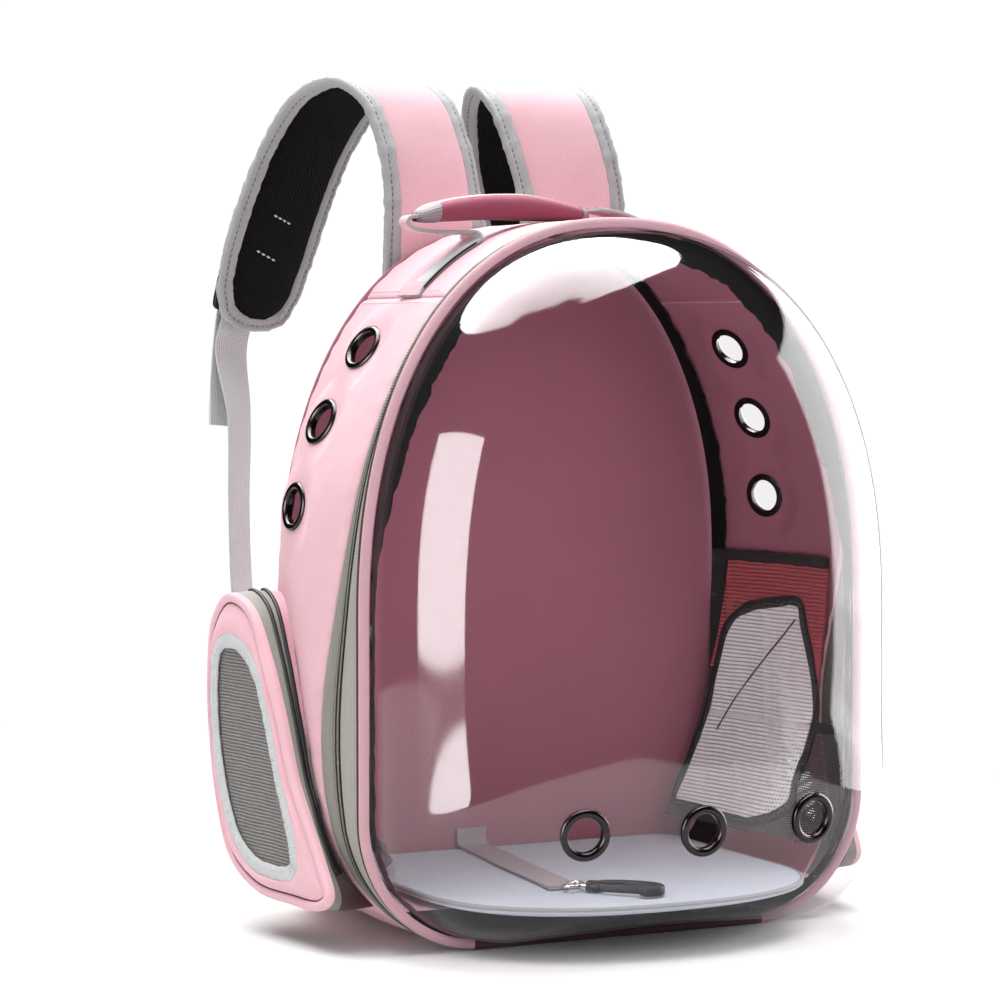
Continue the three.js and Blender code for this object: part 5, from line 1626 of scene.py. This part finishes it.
def tabs():
    """Tabs of the handle: a flat section that lies on the top and rises to the grip, the left one folded back
    over itself and narrower from there, with a dark line along the front."""
    rows, columns, sewn_edge = 160, 40, 13.4
    level = np.array([0, 1.0, 0])

    def rest(x):
        return body_top(x, HANDLE_Y - 15) + 1.9

    left = [(-106.5, rest(-106.5) - 1.8)] + [(x, rest(x)) for x in (-103, -96, -88, -80, -72)]
    left += [(-66, 409), (-67, 412.5), (-76, 412.5), (-87, 412.7), (-98, 413.2)]
    left += [(-106, 415), (-109.5, 418), (-108, 420.8), (-103, 421.5)]
    right = [(10.6, 427.5), (28, 425), (48, 417.5)] + [(x, rest(x)) for x in (62, 74, 85, 96, 107)]
    profile = oval(30, 2.4, 8, columns)
    middles = (profile[:-1, 0] + profile[1:, 0]) / 2
    finishes = ["pink_cloth", "light_binding", "black_tape", "light_webbing"]
    for side, table, ends in (("left", left, (-104, -70)), ("right", right, (70, 104))):
        path = curve([(x, HANDLE_Y, z) for x, z in table], np.linspace(0, 1, rows))
        narrow = mix(1.0, 0.4, ease(np.linspace(0, 1, rows), 0.42, 0.62) * (side == "left"))
        kinds = np.broadcast_to(np.abs(middles) > sewn_edge, (rows + 1, columns)).astype(int)
        if side == "left":
            kinds[16:74, (middles > -sewn_edge) & (middles < -2)] = 3
        widths = points_at(narrow, 1)[:, None]
        strip = sweep(path, level, profile[None] * widths, finish=kinds)
        sewn = np.linspace(*ends, 40)
        # a dark cord along the tab's front edge on the top panel
        line = points_at(sewn, HANDLE_Y - 15.2, rest(sewn) + 0.4)
        row = sweep(line, level, oval(0.9, 1.2, 2, 10), 2)
        make(f"tab_{side}", [strip, row], finishes, [f"handle_tab_{side}"], "pink_cloth", sharp=60)


# Camera fitted to the photograph: pixels per unit of slope, the pixel that its level axis meets, its distance
# from the frame in metres, its height over the floor and its angle round the object
FOCAL_PIXELS = 3262
AXIS_PIXEL = (620.4, 334.1)
IMAGE_MIDDLE = 500
EYE_DISTANCE = 1.9
EYE_HEIGHT = 0.353
EYE_AZIMUTH = math.radians(28.5)


def stage():
    """Pale floor, white surroundings, soft boxes, and the camera at the photograph's angle."""
    angle = np.linspace(0, TURN, 97)[:-1]
    ring = points_at(1.15 * np.cos(angle) - 0.5, 1.15 * np.sin(angle), 0)
    mesh = bpy.data.meshes.new("floor")
    mesh.from_pydata(ring.tolist(), [], [range(96)])
    mesh.materials.append(finish_of("studio_floor"))
    floor = placed("floor", mesh)
    studio_air()
    soft_box("left_box", (-1.75, -0.45, 0.5), (-0.15, -0.05, 0.28), 1.4, 1.2, 0.62)
    ceiling(4.7)
    soft_box("right_box", (1.75, 0.1, 0.62), (0.1, -0.1, 0.22), 2.1, 1.2, 1.6)
    card = {"lights": False, "shape": "ELLIPSE"}
    fade(soft_box("top_card", (-0.08, 0.36, 1.99), (0.0, 0.0, 0.3), 2.3, 3.0, 19.0, **card))
    soft_box("right_card", (1.74, 0.1, 0.42), (0.1, -0.1, 0.22), 2.1, 1.7, 8.0, lights=False)
    soft_box("left_card", (-1.74, -0.45, 0.545), (-0.15, -0.05, 0.325), 1.4, 1.11, 13.0, lights=False)
    soft_box("front_fill", (0.2, -1.75, 1.2), (0.0, 0.0, 0.3), 1.8, 1.3, 1.9, shines=False)
    camera = bpy.data.cameras.new("camera")
    camera.lens = 117.43
    camera.sensor_width = 36
    camera.clip_end = 100
    ahead = Vector((math.sin(EYE_AZIMUTH), math.cos(EYE_AZIMUTH), 0))
    right = Vector((math.cos(EYE_AZIMUTH), -math.sin(EYE_AZIMUTH), 0))
    eye = placed("camera", camera)
    eye.location = -ahead * EYE_DISTANCE + Vector((0, FRAME_Y * MM, EYE_HEIGHT))
    beside = (IMAGE_MIDDLE - AXIS_PIXEL[0]) / FOCAL_PIXELS
    above = (AXIS_PIXEL[1] - IMAGE_MIDDLE) / FOCAL_PIXELS
    aim = ahead + right * beside + Vector((0, 0, 1)) * above
    eye.rotation_euler = aim.to_track_quat("-Z", "Y").to_euler()
    bpy.context.scene.camera = eye
    bpy.context.scene.view_settings.view_transform = "Standard"


def studio_air():
    """World: a white backdrop to the camera, soft fill on the object, and a dark room in reflections."""
    world = bpy.data.worlds.new("studio")
    nodes = Nodes(world)
    path = nodes.node("ShaderNodeLightPath")
    seen = Wire(nodes, path.outputs["Is Camera Ray"])
    mirrored_ray = Wire(nodes, path.outputs["Is Glossy Ray"])
    strength = seen * 0.82 + 0.2 - mirrored_ray * 0.18
    air = nodes.wire("ShaderNodeBackground", None, {"Color": (1, 1, 1, 1), "Strength": strength})
    nodes.node("ShaderNodeOutputWorld", None, {"Surface": air})
    bpy.context.scene.world = world


def ceiling(strength):
    """Even light from a wide white ceiling: a sun that fills most of the sky above."""
    light = bpy.data.lights.new("ceiling", "SUN")
    light.angle = math.radians(60)
    light.energy = strength
    lamp = placed("ceiling", light)
    lamp.rotation_euler = (math.radians(-8), math.radians(-3), 0)
    lamp.visible_glossy = False


def fade(light):
    """Lets a light fade over its own map, from one corner to a dimmer, ragged edge at the opposite one."""
    nodes = Nodes(light)
    place = nodes.wire("ShaderNodeNewGeometry", None, None, "Parametric")
    split = nodes.node("ShaderNodeSeparateXYZ", None, {0: place})
    rough = nodes.wire("ShaderNodeTexNoise", None, {"Vector": place, "Scale": 6.0, "Detail": 3.0})
    across = Wire(nodes, split.outputs[0]) + Wire(nodes, split.outputs[1]) + (rough - 0.5) * 0.35
    dim = 1 - ((across - 0.9) * 1.5).clamped() * 0.62
    edge = ((1.62 - across) * 14).clamped()
    glow = nodes.wire("ShaderNodeEmission", None, {"Strength": dim * edge})
    nodes.node("ShaderNodeOutputLight", None, {"Surface": glow})


def soft_box(name, place, target, width, height, glow, lights=True, shines=True, shape="RECTANGLE"):
    """A soft light of this glow that faces a target; a card that only shows in reflections where it doesn't
    light, and a fill that never shows there where it doesn't shine."""
    light = bpy.data.lights.new(name, "AREA")
    light.shape = shape
    light.size = width
    light.size_y = height
    light.energy = glow * math.pi * width * height
    lamp = placed(name, light)
    lamp.location = place
    lamp.rotation_euler = (Vector(target) - Vector(place)).to_track_quat("-Z", "Y").to_euler()
    lamp.visible_camera = False
    lamp.visible_diffuse = lights
    lamp.visible_transmission = lights
    lamp.visible_glossy = shines
    return light


# Operators


class CarrierOperator:
    """Runs the steps of one group of pieces."""

    bl_options = {"REGISTER", "UNDO"}
    steps = ()

    def execute(self, context):
        for step in type(self).steps:
            step()
        return {"FINISHED"}


class CARRIER_OT_body(CarrierOperator, bpy.types.Operator):
    """Cloth side, top and back panels, base and their stitches"""

    bl_idname = "carrier.body"
    bl_label = "Body cloth"
    steps = (side_panels, top_panel, base, back_pad, seam_stitches)


class CARRIER_OT_zip(CarrierOperator, bpy.types.Operator):
    """Main zip, piping and inner bindings"""

    bl_idname = "carrier.zip"
    bl_label = "Main zip and frame seam"
    steps = (main_zip, piping, bindings)


class CARRIER_OT_bubble(CarrierOperator, bpy.types.Operator):
    """Clear bubble window"""

    bl_idname = "carrier.bubble"
    bl_label = "Bubble"
    steps = (bubble,)


class CARRIER_OT_eyelets(CarrierOperator, bpy.types.Operator):
    """Nine vent eyelets"""

    bl_idname = "carrier.eyelets"
    bl_label = "Eyelets"
    steps = (eyelets,)


class CARRIER_OT_mat(CarrierOperator, bpy.types.Operator):
    """Padded floor mat"""

    bl_idname = "carrier.mat"
    bl_label = "Mat"
    steps = (mat,)


class CARRIER_OT_tether(CarrierOperator, bpy.types.Operator):
    """Tether, swivel, snap hook and gate"""

    bl_idname = "carrier.tether"
    bl_label = "Tether and hook"
    steps = (tether, snap_hook)


class CARRIER_OT_pockets(CarrierOperator, bpy.types.Operator):
    """Side pockets with net windows"""

    bl_idname = "carrier.pockets"
    bl_label = "Pockets"
    steps = (pockets,)


class CARRIER_OT_netting(CarrierOperator, bpy.types.Operator):
    """Netting inside the side walls"""

    bl_idname = "carrier.netting"
    bl_label = "Netting"
    steps = (netting,)


class CARRIER_OT_straps(CarrierOperator, bpy.types.Operator):
    """Padded shoulder straps, webbing and ladder locks"""

    bl_idname = "carrier.straps"
    bl_label = "Straps"
    steps = (straps, webbing)


class CARRIER_OT_handle(CarrierOperator, bpy.types.Operator):
    """Top handle with its tabs"""

    bl_idname = "carrier.handle"
    bl_label = "Handle"
    steps = (grip, tabs)


class CARRIER_OT_stage(CarrierOperator, bpy.types.Operator):
    """Floor, lights and camera"""

    bl_idname = "carrier.stage"
    bl_label = "Stage"
    steps = (stage,)


OPERATORS = (
    CARRIER_OT_body,
    CARRIER_OT_zip,
    CARRIER_OT_bubble,
    CARRIER_OT_eyelets,
    CARRIER_OT_mat,
    CARRIER_OT_tether,
    CARRIER_OT_pockets,
    CARRIER_OT_netting,
    CARRIER_OT_straps,
    CARRIER_OT_handle,
    CARRIER_OT_stage,
)


class CARRIER_PT_pieces(bpy.types.Panel):
    """Lists the carrier's operators, sizes and colours"""

    bl_label = "Pet carrier backpack"
    bl_space_type = "VIEW_3D"
    bl_region_type = "UI"
    bl_category = "Carrier"

    def draw(self, context):
        for operator in OPERATORS:
            self.layout.operator(operator.bl_idname)
        for group in (context.scene.carrier_sizes, context.scene.carrier_colours):
            for name in group.__annotations__:
                self.layout.prop(group, name)


CLASSES = (CarrierSizes, CarrierColours, *OPERATORS, CARRIER_PT_pieces)


def register():
    """Registers the add-on's classes and properties."""
    for item in CLASSES:
        bpy.utils.register_class(item)
    bpy.types.Scene.carrier_sizes = bpy.props.PointerProperty(type=CarrierSizes)
    bpy.types.Scene.carrier_colours = bpy.props.PointerProperty(type=CarrierColours)


def unregister():
    """Takes the add-on's properties and classes away."""
    del bpy.types.Scene.carrier_colours
    del bpy.types.Scene.carrier_sizes
    for item in reversed(CLASSES):
        bpy.utils.unregister_class(item)


def main():
    """Registers the add-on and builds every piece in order."""
    register()
    for operator in OPERATORS:
        group, name = operator.bl_idname.split(".")
        getattr(getattr(bpy.ops, group), name)()


if __name__ == "__main__":
    main()
